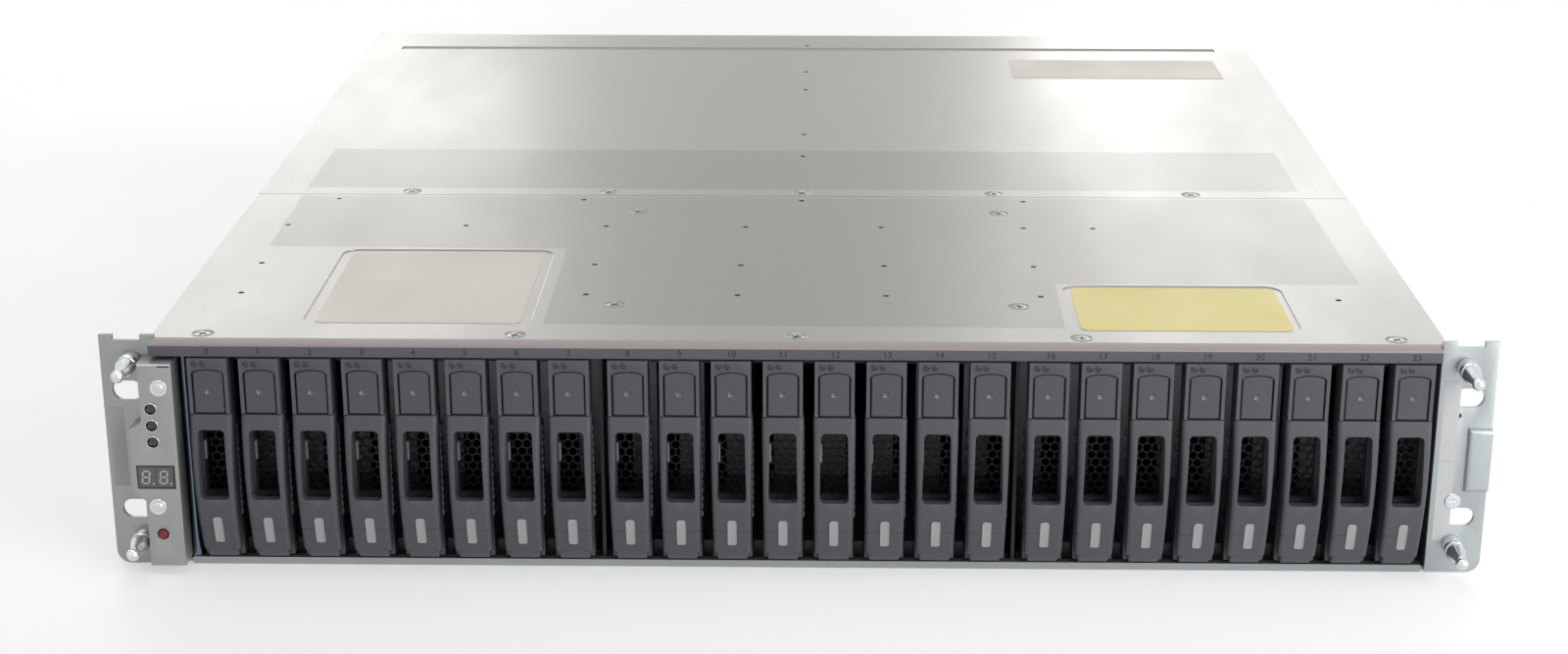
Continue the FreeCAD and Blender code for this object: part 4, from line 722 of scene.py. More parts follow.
def lettering(text, height, thickness=0.08):
    """A number as a thin mesh in the upright plane, centred, facing the front."""
    curve = bpy.data.curves.new("number", "FONT")
    curve.body = text
    curve.size = height * 1.43
    curve.align_x = curve.align_y = "CENTER"
    curve.extrude = thickness / 2
    thing = bpy.data.objects.new("number", curve)
    bpy.context.scene.collection.objects.link(thing)
    bpy.context.view_layer.update()
    mesh = bpy.data.meshes.new_from_object(thing)
    bpy.data.objects.remove(thing)
    mesh.transform(Matrix.Rotation(math.pi / 2, 4, "X"))
    return mesh


numbers = bmesh.new()
for slot in SLOTS:
    mesh = lettering(str(slot), NUMBER_HEIGHT)
    mesh.transform(Matrix.Translation((slot_middle(slot) + 0.2, rail_y[0] - 0.02, NUMBER_Z)))
    numbers.from_mesh(mesh)
hang("slot_numbers", plain_mesh(numbers), INK_AND_HOLE_SHADE, "shelf")
print("numbers", len(SLOTS), "on a rail", round(rail_x[1] - rail_x[0], 1), "wide")

# %% [markdown]
# ## Drive carriers
# Each carrier is a moulded head with two small lenses, a push button under them, and a long bowed
# lever with a window. The lever's front is an arc of 92 mm radius, so its thickness swells in the
# middle, and it narrows a little towards its foot. Each shape is drawn once and copied to its
# slots.

# %% The lever's bow and taper
LEVER_LOW, LEVER_TOP = 7.1, 59.2
FRONT_AT_TOP, FRONT_AT_FOOT, BOW = -6.8, -4.2, 92.0


def bow_centre():
    """Middle of the arc through the lever's top and foot."""
    top, foot = Vector((FRONT_AT_TOP, LEVER_TOP)), Vector((FRONT_AT_FOOT, LEVER_LOW))
    chord = top - foot
    normal = Vector((chord.y, -chord.x)).normalized()
    return (top + foot) / 2 + normal * math.sqrt(BOW ** 2 - chord.length ** 2 / 4)


CENTRE = bow_centre()


def lever_front(z):
    return CENTRE.x - math.sqrt(BOW ** 2 - (z - CENTRE.y) ** 2)


def lever_half(z):
    share = (z - LEVER_LOW) / (LEVER_TOP - LEVER_LOW)
    return 6.55 + 0.75 * share


print("the bow stands out", round(-lever_front(37.5), 2), "mm at its crest")

# %% Lever
def lever_row(z, inset=0.0, corner=1.5):
    """One level of the lever: a flat back at y = -1 and round front corners."""
    half, front = lever_half(z) - inset, lever_front(z) + inset
    row = [(-half, -1.0, z), (-half, (front + corner - 1.0) / 2, z)]
    for side in (-1, 1):
        for step in range(6):
            turn = math.radians(18 * step if side < 0 else 90 - 18 * step)
            row.append((side * (half - corner + corner * math.cos(turn)),
                        front + corner - corner * math.sin(turn), z))
        if side < 0:
            row += [(share * (half - corner), front - 0.06 * (1 - share ** 2), z)
                    for share in (-0.5, 0, 0.5)]
    return row + [(half, (front + corner - 1.0) / 2, z), (half, -1.0, z)]


def draw_lever():
    levels = [(LEVER_LOW, 0.5), (LEVER_LOW + 0.15, 0.2), (LEVER_LOW + 0.5, 0.0)]
    levels += [(z, 0.0) for z in (9, 11, 13, 15, 16.2)]
    levels += [(16.35, 0.0), (16.45, 0.13), (16.6, 0.13), (16.7, 0.0)]
    levels += [(17 + 2.2 * n, 0.0) for n in range(19)]
    levels += [(58.7, 0.0), (59.05, 0.15), (LEVER_TOP, 0.4)]
    body = skin([lever_row(*level) for level in levels], closed=True)
    window = rounded_taper((28.2, 53.8), (5.1, 4.6), 1.6)
    hollow = push(rounded((-5.4, 5.4), (24, 57), 0.8, 2), -5.2, 1.0)
    feet = [turned([(0.85, -14), (0.85, 0.5)], 10, "y", (x, 0, LEVER_LOW)) for x in (-4.3, 4.3)]
    left = carve(body, [push(window, -14, 0.5), hollow] + feet)
    rim = [edge for edge in left.edges if edge.calc_face_angle(0) > 0.6
           and all(27.5 < v.co.z < 54.5 and abs(v.co.x) < 5.3 and v.co.y < lever_front(v.co.z) + 0.2
                   for v in edge.verts)]
    bmesh.ops.bevel(left, geom=rim, offset=0.35, segments=2, affect="EDGES", profile=0.5,
                    clamp_overlap=True)
    heel = turned([(4.6, -5.3), (5.0, -4.9), (5.0, 4.9), (4.6, 5.3)], 28, "x", (0, 1.0, 8.2))
    left.from_mesh(plain_mesh(heel))
    return left


def rounded_taper(z, halves, radius, steps=4):
    """A window's outline: round corners, and sides that lean in towards the top."""
    lean = (halves[0] - halves[1]) / (z[1] - z[0])
    return [(x * (1 - lean * (v - z[0]) / halves[0]), v)
            for x, v in rounded((-halves[0], halves[0]), z, radius, steps)]


lever_drawing = plain_mesh(draw_lever())
print("lever faces", len(lever_drawing.polygons))

# %% [markdown]
# The button is a thick tile with a gently arched top, a round dimple for the finger and a low ledge
# along its foot. It is drawn as a grid of points whose depth follows those three forms.

# %% Button
BUTTON_HALF, BUTTON_LOW, BUTTON_HIGH = 5.3, 59.9, 75.6
BUTTON_BACK, DIMPLE_Z = -2.4, 67.8


def button_top(x):
    """Height of the arched top: a shallow bow with round corners."""
    corner = min(0.9, max(0.0, abs(x) - (BUTTON_HALF - 0.9)))
    bow = 0.85 * (x / BUTTON_HALF) ** 2
    return BUTTON_HIGH - bow - (0.9 - math.sqrt(0.81 - corner ** 2))


def button_face(x, z):
    """Depth of the front: edges roll back, a dimple sinks in and a ledge stands at the foot."""
    near = min(BUTTON_HALF - abs(x), button_top(x) - z, z - BUTTON_LOW + 0.25)
    roll = 0.55 * max(0.0, 1 - near / 0.55) ** 2 if near < 0.55 else 0.0
    away = math.hypot(x, z - DIMPLE_Z)
    dimple = 0.62 * max(0.0, 1 - (away / 1.25) ** 2) - 0.1 * math.exp(-((away - 1.45) / 0.25) ** 2)
    ledge = 0.22 / (1 + math.exp((z - BUTTON_LOW - 1.25) * 14))
    return -6.72 + roll + dimple - ledge * 0.3 + 0.10 * (x / BUTTON_HALF) ** 2


def spread(low, high, count, fine):
    """Places from low to high, closer together near both ends and near the fine places."""
    places = {round(low + (high - low) * n / count, 3) for n in range(count + 1)}
    places |= {round(end, 3) for d in (0.12, 0.25, 0.4, 0.55) for end in (low + d, high - d)}
    places |= {round(f + s * d, 3) for f in fine for d in (0, 0.5, 0.9, 1.2, 1.5) for s in (-1, 1)}
    return sorted(p for p in places if low <= p <= high)


def draw_button():
    across = spread(-BUTTON_HALF, BUTTON_HALF, 10, [0.0])
    shares = [(z - BUTTON_LOW) / (BUTTON_HIGH - BUTTON_LOW)
              for z in spread(BUTTON_LOW, BUTTON_HIGH, 12, [DIMPLE_Z, 61.2])]
    rows = []
    for share in shares:
        row = []
        for x in across:
            z = BUTTON_LOW + share * (button_top(x) - BUTTON_LOW)
            row.append((x, button_face(x, z), z))
        rows.append(row)
    bm = skin(rows)
    for face in bm.faces:
        spot = face.calc_center_median()
        face.material_index = int(math.hypot(spot.x, spot.z - DIMPLE_Z) < 1.3)
    rim = [edge for edge in bm.edges if edge.is_boundary]
    pushed = bmesh.ops.extrude_edge_only(bm, edges=rim)
    for vert in [v for v in pushed["geom"] if isinstance(v, bmesh.types.BMVert)]:
        vert.co.y = BUTTON_BACK
    back = [edge for edge in bm.edges if edge.is_boundary]
    bmesh.ops.contextual_create(bm, geom=back)
    return bm


POLISHED = surface("polished_dimple", (0.12, 0.12, 0.135), 0.16, 0.0, (200, 0.1), (900, 0.006),
                   coat=0.5)
button_drawing = plain_mesh(draw_button())
print("button faces", len(button_drawing.polygons))

# %% [markdown]
# The carrier's own moulding is a profile seen from the side: the head, a thin front wall and two
# long rails that hold the drive. The button's pocket, the vent and two lens wells are carved out.

# %% Carrier moulding and drive
LENS_X, LENS_Z = (-4.3, -1.5), 77.8


def draw_carrier():
    side = [(-7, 59.6), (-0.7, 59.6), (-0.7, 12.2), (1, 12.2), (1, 3.6), (172, 3.6), (172, 6.9),
            (4, 6.9), (4, 76.45), (172, 76.45), (172, 79.75), (-7, 79.75)]
    body = soften(push(side, -6.85, 6.85, "x"), 0.45, 2, 60,
                  lambda e: all(v.co.y < -6.9 or (v.co.y < -0.6 and v.co.z > 79.7)
                                for v in e.verts))
    arch = [(x, button_top(max(-BUTTON_HALF, min(BUTTON_HALF, x))) + 0.35)
            for x in (5.65, 5, 4, 2, 0, -2, -4, -5, -5.65)]
    room = push([(-5.65, 58.5), (5.65, 58.5)] + arch, -8, -0.2)
    vent = push([(-4.9, 15), (4.9, 15), (4.9, 56.5), (-4.9, 56.5)], -0.9, 5)
    wells = [turned([(1.15, -8), (1.15, -6.3)], 16, "y", (x, 0, LENS_Z)) for x in LENS_X]
    body = carve(body, [room, vent] + wells)
    body.from_mesh(plain_mesh(push([(-4.9, 26), (4.9, 26), (4.9, 27.4), (-4.9, 27.4)], 0.6, 3.4)))
    drive = soften(push(rounded((-4.75, 4.75), (6.95, 76.4), 1.0, 2), 70, 170.1), 0.3, 1, 60)
    for face in drive.faces:
        face.material_index = 1
    body.from_mesh(plain_mesh(drive))
    return body


DRIVE_CASE = surface("cast_drive_case", (0.42, 0.43, 0.44), 0.45, 0.8, (30, 0.08), (900, 0.02))
carrier_drawing = plain_mesh(draw_carrier())
print("carrier faces", len(carrier_drawing.polygons))

# %% Badge, lenses and grille
def draw_badge():
    """A small silver plate that follows the lever's bow; its rim stands above its bare field."""
    rows = []
    for z in [10.8, 10.9, 11.05, 11.3, 11.6, 12.0] + [13 + n for n in range(7)] \
            + [20.0, 20.4, 20.7, 20.95, 21.1, 21.2]:
        end = min(z - 10.8, 21.2 - z)
        half = 1.6 if end > 0.9 else 0.7 + math.sqrt(max(0.0, 0.81 - (0.9 - end) ** 2))
        rim = 0.45 if end > 0.2 else 0.2 + end
        field = 0.33 if end > 0.55 else rim
        steps = ((1.0, 0.0), (1.0, rim - 0.15), (0.93, rim), (0.8, rim), (0.7, field),
                 (0.35, field), (0.0, field))
        right = [(half * share, lever_front(z) - rise, z) for share, rise in steps]
        rows.append([(-x, y, v) for x, y, v in right] + right[-2::-1])
    bm = skin(rows)
    bmesh.ops.contextual_create(bm, geom=[edge for edge in bm.edges if edge.is_boundary])
    return bm


badge_drawing = plain_mesh(draw_badge())
LENS_STAMP = stamp(turned([(1.1, 0.75), (1.1, 0.0), (1.0, -0.06), (0.82, -0.02), (0.72, 0.12),
                           (0.45, 0.02), (0.15, -0.02)], 16, "y"), 40)


def draw_cell():
    """One cell of a grille: a six-sided plate with a round hole, open behind."""
    outer, inner = [], []
    for step in range(12):
        turn = math.radians(30 * step + 30)
        reach = 1.848 if step % 2 == 0 else 1.6
        outer.append((reach * math.cos(turn), 0, reach * math.sin(turn)))
        inner.append((1.42 * math.cos(turn), 0, 1.42 * math.sin(turn)))
    return skin([outer, inner, [(x, 0.8, z) for x, _, z in inner]], closed=True, caps=False)


CELL = stamp(draw_cell(), 30)


def grille(columns, rows, first):
    # The grille takes the web colour that is painted shade.
    return repeat(ROWS, {"Stamp": CELL, "Finish": SHADED_WEB, "Columns": columns, "Rows": rows,
                         "Column step": (3.2, 0, 0), "Row step": (0, 0, 2.771),
                         "Stagger": (1.6, 0, 0), "First": first})


def draw_finger():
    """One leaf of the spring strip that earths a carrier against its neighbour."""
    leaf = [(0.0, -1.3), (0.35, -1.3), (0.62, -0.5), (0.62, 0.5), (0.35, 1.3), (0.0, 1.3)]
    return soften(push(leaf, 0, 3.8), 0.1, 1, 40)


FINGER = stamp(draw_finger(), 40)


def draw_light_guide():
    """A clear bar beside the drive that carries light to the lenses; it is drawn in an opaque pale
    grey, which is a painted glint.
    """
    return soften(push(rounded((-4.88, -4.25), (39.5, 46.5), 0.2, 1), 1.2, 3.2), 0.08, 1, 60)


LEAF = surface("spring_leaf", (0.16, 0.16, 0.17), 0.4, 0.7, (90, 0.15), (900, 0.01))
# Opaque pale grey for the light guide: a painted glint, the thin bright line behind the front wall.
GUIDE_GLINT = surface("guide_glint_grey", (0.50, 0.50, 0.52), 0.25, 0.0, (90, 0.1), (900, 0.01), coat=0.4)
guide_drawing = plain_mesh(draw_light_guide())

# %% Fill the twenty-four slots
for slot in SLOTS:
    x = slot_middle(slot)
    carrier = f"carrier_{slot:02d}"
    working = slot in WORKING
    lever_body = f"lever_{slot:02d}" if working else carrier
    button_body = f"button_{slot:02d}" if working else carrier
    hang(f"carrier_moulding_{slot:02d}", plain_mesh(carrier_drawing), [MOULDED, DRIVE_CASE],
         carrier, x, (f"drive_carrier_{slot:02d}",))
    hang(f"lever_skin_{slot:02d}", plain_mesh(lever_drawing), MOULDED, lever_body, x,
         (f"cam_lever_{slot:02d}",) if working else ())
    hang(f"button_tile_{slot:02d}", plain_mesh(button_drawing), [MOULDED, POLISHED], button_body, x,
         (f"release_button_{slot:02d}",) if working else ())
    hang(f"badge_{slot:02d}", plain_mesh(badge_drawing), SILVER, lever_body, x)
    lenses = repeat(SCATTER, {"Stamp": LENS_STAMP, "Finish": LENS, "Largest turn": (0, 0, 0)},
                    [(at, -6.95, LENS_Z) for at in LENS_X])
    hang(f"lens_pair_{slot:02d}", lenses, LENS, carrier, x)
    hang(f"window_grille_{slot:02d}", grille(4, 14, (-5.6, 8.0, 15.5)), SHADED_WEB, carrier, x)
    strip = repeat(ROWS, {"Stamp": FINGER, "Finish": LEAF, "Columns": 1, "Rows": 12,
                          "Row step": (0, 0, 2.9), "First": (6.85, 0.1, 20.5)})
    hang(f"spring_strip_{slot:02d}", strip, LEAF, carrier, x)
    # The light guide's pale grey is a painted glint.
    hang(f"light_guide_{slot:02d}", plain_mesh(guide_drawing), GUIDE_GLINT, carrier, x)
print("carriers", len(SLOTS), "with working levers in", WORKING)

# %% [markdown]
# ## Rack ears and studs
# The ears are 2 mm plate with round-ended slots. Their solids are right, so they are copied with
# their edges eased, which is what a pressed and plated edge looks like. The four studs are turned
# parts: a round base, a groove, a cone and a ball that a clip-on bezel's socket grips.

# %% Ears
for side in ("left", "right"):
    ear = eased(f"{side}_rack_ear", 0.25, steeper=40)
    # The left ear takes the darker zinc copy, which is painted shade; the right ear takes the plain
    # one.
    add_piece(f"{side}_ear_plate", ear, SHADED_EAR_STEEL if side == "left" else COOL_STEEL, "shelf",
              replaces=(f"{side}_rack_ear",))
# The left ear's label is darker than the right ones: painted shade, and the tone of its undrawn
# print.
strip = soften(push(rounded((-239.8, -234.6), (29.6, 59.2), 0.4, 2), -0.1, 0.0), 0.03, 1, 60)
add_piece("left_ear_label", strip, SHADE_AND_PRINT_PAPER, "shelf")
for name, z in (("upper", (42.2, 72)), ("lower", (12, 42))):
    strip = soften(push(rounded((223.7, 229.4), z, 0.4, 2), -0.1, 0.0), 0.03, 1, 60)
    add_piece(f"right_ear_label_{name}", strip, PAPER, "shelf")


def draw_flat_screw():
    """A low countersunk screw with a cross, facing the front."""
    head = turned([(0.4, 0.0), (2.9, 0.0), (2.9, -0.2), (2.7, -0.42), (1.4, -0.55), (0.3, -0.58)],
                  28, "y")
    return carve(head, cross(1.5, 0.3, (-1.0, -0.2), (-1.01, -0.21)))


flat_screw = draw_flat_screw()
bmesh.ops.translate(flat_screw, verts=flat_screw.verts, vec=(229.9, 0.05, 27.0))
add_piece("right_ear_screw", flat_screw, BRIGHT_ZINC, "shelf", crisp=30)
# The pinhole is a thin dark disc on the ear: painted shade of a hole.
pinhole = turned([(0.1, -0.06), (0.85, -0.06), (0.85, 0.0), (0.1, 0.0)], 14, "y", (229.5, 0, 59))
add_piece("right_ear_pinhole", pinhole, INK_AND_HOLE_SHADE, "shelf")

# %% Studs
STUD = [(3.35, 0.0), (3.5, -0.25), (3.5, -6.3), (3.3, -6.6), (3.05, -6.8), (3.05, -7.4),
        (3.3, -7.6), (3.45, -7.9), (3.45, -8.7), (3.2, -9.3), (1.8, -14.7), (1.7, -15.0),
        (1.7, -15.4)]
STUD += [(2.3 * math.sin(math.radians(angle)), -17.6 - 2.3 * math.cos(math.radians(angle)))
         for angle in range(135, 0, -12)] + [(0.15, -19.9)]
studs = bmesh.new()
for x in (-230.5, 230.5):
    for z in (11, 77):
        turned(STUD, 32, "y", (x, 0, z), studs)
add_piece("bezel_studs", studs, BRIGHT_ZINC, "shelf", crisp=50,
          replaces=("bezel_ball_studs",))
print("studs", 4, "reach", round(-min(height for _, height in STUD), 1), "mm")

# %% [markdown]
# ## Operator panel
# A small folded cover on the left ear. Two cross screws hold it, three round holes show the lamps,
# a window shows two unlit digits, and a red button sits at the foot.

# %% Cover, screws and lamp rims
PANEL = -10.0
panel = eased("display_cover", 0.2, steeper=40)
# The panel cover takes the same painted-shade copy of the ear zinc.
add_piece("panel_cover", panel, SHADED_EAR_STEEL, "shelf", replaces=("display_cover",))


def draw_panel_screw(bm, x, z, turn):
    """A pressed round with a small cross-headed screw in its middle."""
    turned([(2.2, 0.0), (3.0, 0.0), (2.9, -0.12), (2.3, -0.18), (2.0, -0.1)], 26, "y",
           (x, PANEL, z), bm)
    head = turned([(0.4, 0.0), (1.75, 0.0), (1.75, -0.3), (1.5, -0.55), (0.9, -0.7), (0.2, -0.74)],
                  24, "y")
    head = carve(head, cross(1.15, 0.25, (-1.2, -0.3), (-1.21, -0.31), corner=0.08))
    bmesh.ops.rotate(head, verts=head.verts, matrix=Matrix.Rotation(turn, 3, "Y"))
    bmesh.ops.translate(head, verts=head.verts, vec=(x, PANEL, z))
    bm.from_mesh(plain_mesh(head))


screws = bmesh.new()
draw_panel_screw(screws, -219.1, 69.9, 0.3)
draw_panel_screw(screws, -222.6, 25.8, 0.7)
add_piece("panel_screw_heads", screws, BRIGHT_ZINC, "shelf", crisp=30)
rims, lenses = bmesh.new(), bmesh.new()
for z in (50, 56.1, 62.2):
    turned([(2.15, 0.0), (2.3, -0.12), (2.2, -0.24), (2.02, -0.2), (1.98, 0.3)], 28, "y",
           (-222.4, PANEL, z), rims)
    for face in [f for f in rims.faces if len(f.verts) > 4]:
        rims.faces.remove(face)
    turned([(1.9, 0.9), (1.9, 0.75), (1.4, 0.5), (0.7, 0.4), (0.1, 0.38)], 24, "y",
           (-222.4, PANEL, z), lenses)
add_piece("lamp_rims", rims, BRIGHT_ZINC, "shelf", crisp=50)
add_piece("lamp_lenses", lenses, LENS, "shelf", replaces=("status_lamps",))
lip = soften(push([(-225.8, 78.3), (-214.3, 78.3), (-214.3, 78.95), (-225.8, 78.95)], -10.6, -9.0),
             0.15, 2, 50)
add_piece("panel_folded_lip", lip, BRIGHT_ZINC, "shelf")
# The slit under the folded lip is a thin dark strip on the cover's face: painted shade of an
# opening.
slit = push(rounded((-219.0, -214.8), (77.5, 78.15), 0.1, 1), -10.03, -9.9)
add_piece("panel_slit", slit, INK_AND_HOLE_SHADE, "shelf")

# %% Digits
X_LEFT, X_RIGHT, Z_LOW, Z_HIGH = -228.9, -215.8, 32.7, 41.2


def draw_segment(x, z, length, upright, bm):
    """One bar of a digit, with pointed ends."""
    half, wide = length / 2, 0.26
    bar = [(-half, 0), (-half + wide, wide), (half - wide, wide), (half, 0), (half - wide, -wide),
           (-half + wide, -wide)]
    if upright:
        bar = [(v, u) for u, v in bar][::-1]
    slanted = [(x + u + 0.10 * (z + v - 37), z + v) for u, v in bar]
    push(slanted, PANEL + 0.06, PANEL + 0.14, "y", bm)


window, faces, bars = bmesh.new(), bmesh.new(), bmesh.new()
push([(X_LEFT, Z_LOW), (X_RIGHT, Z_LOW), (X_RIGHT, Z_HIGH), (X_LEFT, Z_HIGH)], PANEL + 0.22,
     PANEL + 0.4, "y", window)
for n in (0, 1):
    left = X_LEFT + 0.45 + 6.15 * n
    soften(push([(left, 33.2), (left + 5.95, 33.2), (left + 5.95, 40.75), (left, 40.75)],
                PANEL + 0.12, PANEL + 0.3, "y", faces), 0.1, 1, 60)
    x, z = left + 2.6, 36.9
    for dx, dz, length, upright in ((0, 2.3, 2.1, False), (0, 0, 2.1, False), (0, -2.3, 2.1, False),
                                    (1.2, 1.15, 2.0, True), (1.2, -1.15, 2.0, True),
                                    (-1.2, 1.15, 2.0, True), (-1.2, -1.15, 2.0, True)):
        draw_segment(x + dx, z + dz, length, upright, bars)
    turned([(0.1, 0.06), (0.36, 0.06), (0.36, 0.14), (0.1, 0.14)], 12, "y",
           (left + 5.1, PANEL, 34.5), bars)
add_piece("digit_window", window, INK_AND_HOLE_SHADE, "shelf")
add_piece("digit_faces", faces, DIGIT_FACE, "shelf")
add_piece("digit_segments", bars, SEGMENT, "shelf")
button = turned([(0.1, -0.76), (1.2, -0.74), (1.5, -0.62), (1.6, -0.4), (1.6, 1.5)], 24, "y",
                (-221.5, PANEL, 15.5))
add_piece("red_push_button", button, RED, "id_button", crisp=50,
          replaces=("shelf_id_button",))

# %% [markdown]
# The bay's left edge is rolled: the sheet turns back on itself in a small tube. It is glossy, and
# its dark blue-grey colour is a painted dark reflection in its chrome-like curve.
# The tray's front lip is a folded strip, duller and cooler than the covers.

# %% Edge roll and lip
edge_x = span("bay_walls")[0][0] + 1.65
roll = turned([(1.5, 2.9), (1.72, 3.1), (1.72, 79.9), (1.5, 80.1)], 28, "z", (edge_x, 1.65, 0))
# The roll's dark blue-grey colour is painted reflection.
add_piece("rolled_edge", roll, REFLECTION_ROLL_STEEL, "shelf")
print("rolled edge at", round(edge_x, 1))

# %% [markdown]
# Each ear's flange lies against the tray's side and is held by four low screws. Behind it, nine low
# rivets hold the inner frame. Both are turned once for each side and stamped.

# %% Flange screws and side rivets
FLANGE = 1.5
SCREW_HEAD = [(0.4, -0.3), (2.9, -0.3), (2.9, 0.2), (2.5, 0.5), (0.3, 0.7)]
RIVET_HEAD = [(0.3, -0.2), (1.9, -0.2), (2.0, 0.08), (1.7, 0.22), (0.2, 0.3)]


def draw_side_head(profile, outward):
    return turned([(radius, outward * height) for radius, height in profile], 24, "x")


for side, outward in (("left", -1), ("right", 1)):
    edge = span("chassis_tray")[0][0 if outward < 0 else 1]
    wall = edge + outward * FLANGE
    slots = cross(1.4, 0.3, (outward * 0.2, outward * 1.2), (outward * 0.21, outward * 1.21), "x")
    screw = carve(draw_side_head(SCREW_HEAD, outward), slots)
    heads = repeat(SCATTER, {"Stamp": stamp(screw, 30), "Finish": SCREW_ZINC,
                             "Largest turn": (3.14, 0, 0)},
                   [(wall, y, z) for y in (14, 44) for z in (16, 70)])
    hang(f"{side}_flange_screws", heads, SCREW_ZINC, "shelf")
    rivets = repeat(SCATTER, {"Stamp": stamp(draw_side_head(RIVET_HEAD, outward), 30),
                              "Finish": SCREW_ZINC},
                    [(edge, y, z) for y in (180, 205, 470) for z in (14, 44, 74)])
    hang(f"{side}_side_rivets", rivets, SCREW_ZINC, "shelf")
print("flange screws", 8, "rivets", 18)

# %% [markdown]
# ## The back
# Two power supplies stand at the sides, and two flat modules lie between them. Each supply has a
# fan behind a wire guard, an inlet with three pins, a bail to pull it out by and a finger latch.
# Each module has two wide ports, a network jack and a cam handle. The sheet metal is right as it
# is, so its handles and tabs are only eased, and the small parts are added.

# %% Supply cans with an eased bail, and the cam handles and latches
HANDLE_FACE = 488.3


def add_ribs(bm, first, step, count, half, z, y, corner, ease):
    """Low ribs for the fingers, set across a tab at even steps."""
    for n in range(count):
        x = first + step * n
        rib = soften(push(rounded((x - half, x + half), z, corner, 2), *y), ease, 1, 60)
        bm.from_mesh(plain_mesh(rib))


for side in ("left", "right"):
    can = eased(f"power_supply_{side}", 0.9, lambda e: all(v.co.y > 485 for v in e.verts), 40, 3)
    add_piece(f"supply_can_{side}", can, STEEL, f"supply_{side}",
              replaces=(f"power_supply_{side}",))
    latch = eased(f"supply_latch_{side}", 0.5, steeper=60)
    (_, far), (_, outer), (low, high) = span(f"supply_latch_{side}")
    add_ribs(latch, far - 4.0, -2.2, 4, 0.45, (low + 2.5, high - 2.5), (outer - 0.7, outer - 0.05),
             0.3, 0.15)
    add_piece(f"finger_latch_{side}", latch, ORANGE, f"supply_{side}_latch",
              replaces=(f"supply_latch_{side}",))
for level in ("lower", "upper"):
    handle = eased(f"io_handle_{level}", 0.8, steeper=60)
    (near, _), _, (low, high) = span(f"io_handle_{level}")
    add_ribs(handle, near + 7.0, 2.6, 6, 0.55, (low + 3, high - 3),
             (HANDLE_FACE + 1.7, HANDLE_FACE + 2.6), 0.4, 0.2)
    add_piece(f"cam_handle_{level}", handle, MOULDED_DARK, f"io_handle_{level}",
              replaces=(f"io_handle_{level}",))
bail = span("power_supply_left")[1][1] - REAR_FACE
print("bail reach", round(bail, 1), "mm behind the face")

# %% [markdown]
# A fan blade is drawn as seven sections from its root to its tip. Each section is a thin wing
# shape, and the pitch gets flatter towards the tip, where the blade moves fastest.

# %% Fans and their guards
def draw_blade():
    """A curved wing, wider and flatter towards its tip."""
    rows = []
    for n in range(7):
        share = n / 6
        reach, pitch = 12.4 + 14.8 * share, math.radians(56 - 20 * share)
        chord, sweep = 8.5 + 3.2 * share, 1.6 * share * share
        row = []
        for along, rise in ((-0.5, 0.0), (-0.3, 0.55), (0.0, 0.95), (0.3, 0.7), (0.5, 0.05),
                            (0.3, -0.2), (0.0, 0.05), (-0.3, -0.05)):
            u, v = chord * along, rise
            row.append((reach, v * math.cos(pitch) - u * math.sin(pitch),
                        u * math.cos(pitch) + v * math.sin(pitch) + sweep))
        rows.append(row)
    return skin(rows, closed=True)


def draw_hoop(radius, wire, sides=44, around=8):
    """A closed wire ring standing in the upright plane."""
    rows = []
    for n in range(sides + 1):
        turn = 2 * math.pi * n / sides
        row = []
        for m in range(around):
            a = 2 * math.pi * m / around
            reach = radius + wire * math.cos(a)
            row.append((reach * math.cos(turn), wire * math.sin(a), reach * math.sin(turn)))
        rows.append(row)
    bm = skin(rows, closed=True, caps=False)
    bmesh.ops.remove_doubles(bm, verts=bm.verts, dist=0.001)
    return bm


BLADE = stamp(draw_blade(), 50)
WIRE = stamp(turned([(0.3, 5.4), (0.65, 5.6), (0.65, 28.6), (0.3, 28.9)], 8, "x"), 40)
HUB = [(0.1, 476.9), (2.7, 476.9), (2.7, 467.4), (12.2, 467.4), (13.0, 468.2), (13.0, 476.6),
       (12.3, 478.1), (10.2, 478.9), (9.8, 478.7), (9.2, 478.9), (3.0, 479.25), (0.1, 479.28)]
BLADE_COUNT, BLADE_Y, HOOP_Y, SPOKE_Y = 7, 473.3, 483.2, 482.4
for side in ("left", "right"):
    x, z = (middle(f"supply_fan_{side}", axis) for axis in (0, 2))
    rotor = turned(HUB, 42, "y", (x, 0, z))
    rotor.from_mesh(repeat(RING, {"Stamp": BLADE, "Finish": BLACK, "Count": BLADE_COUNT,
                                  "Step": (0, 2 * math.pi / BLADE_COUNT, 0),
                                  "Centre": (x, BLADE_Y, z)}))
    add_piece(f"fan_rotor_{side}", rotor, BLACK, f"supply_{side}_fan",
              replaces=(f"supply_fan_{side}",))
    guard = bmesh.new()
    for radius in (5.6, 11.3, 17.0, 22.7, 28.2):
        hoop = draw_hoop(radius, 0.6)
        bmesh.ops.translate(hoop, verts=hoop.verts, vec=(x, HOOP_Y, z))
        guard.from_mesh(plain_mesh(hoop))
    guard.from_mesh(repeat(RING, {"Stamp": WIRE, "Finish": BRIGHT_ZINC, "Count": 4,
                                  "Step": (0, math.pi / 2, 0), "Centre": (x, SPOKE_Y, z)}))
    add_piece(f"fan_guard_{side}", guard, BRIGHT_ZINC, f"supply_{side}", crisp=50)
print("blades", len(BLADE.data.polygons), "faces each")

# %% [markdown]
# The inlet is a black insert in its steel well, with two lower pins and an earth pin above. Ports
# get a folded cage and a contact tongue, and the jack gets its eight spring wires.

# %% Inlets, ports and jacks
GOLD = surface("contact_gold", (0.62, 0.45, 0.16), 0.3, 1.0, (90, 0.1), (900, 0.004))


def frame_block(x, z, wall, near, far, radius=0.6, floor=None):
    """A rectangular tube with a rounded mouth, closed at its near end if a floor is given."""
    outer = soften(push(rounded(x, z, radius, 3), near, far), 0.2, 1, 60)
    inner = push(rounded((x[0] + wall, x[1] - wall), (z[0] + wall, z[1] - wall), radius * 0.6, 3),
                 near - 1 if floor is None else near + floor, far + 1)
    return carve(outer, [inner])


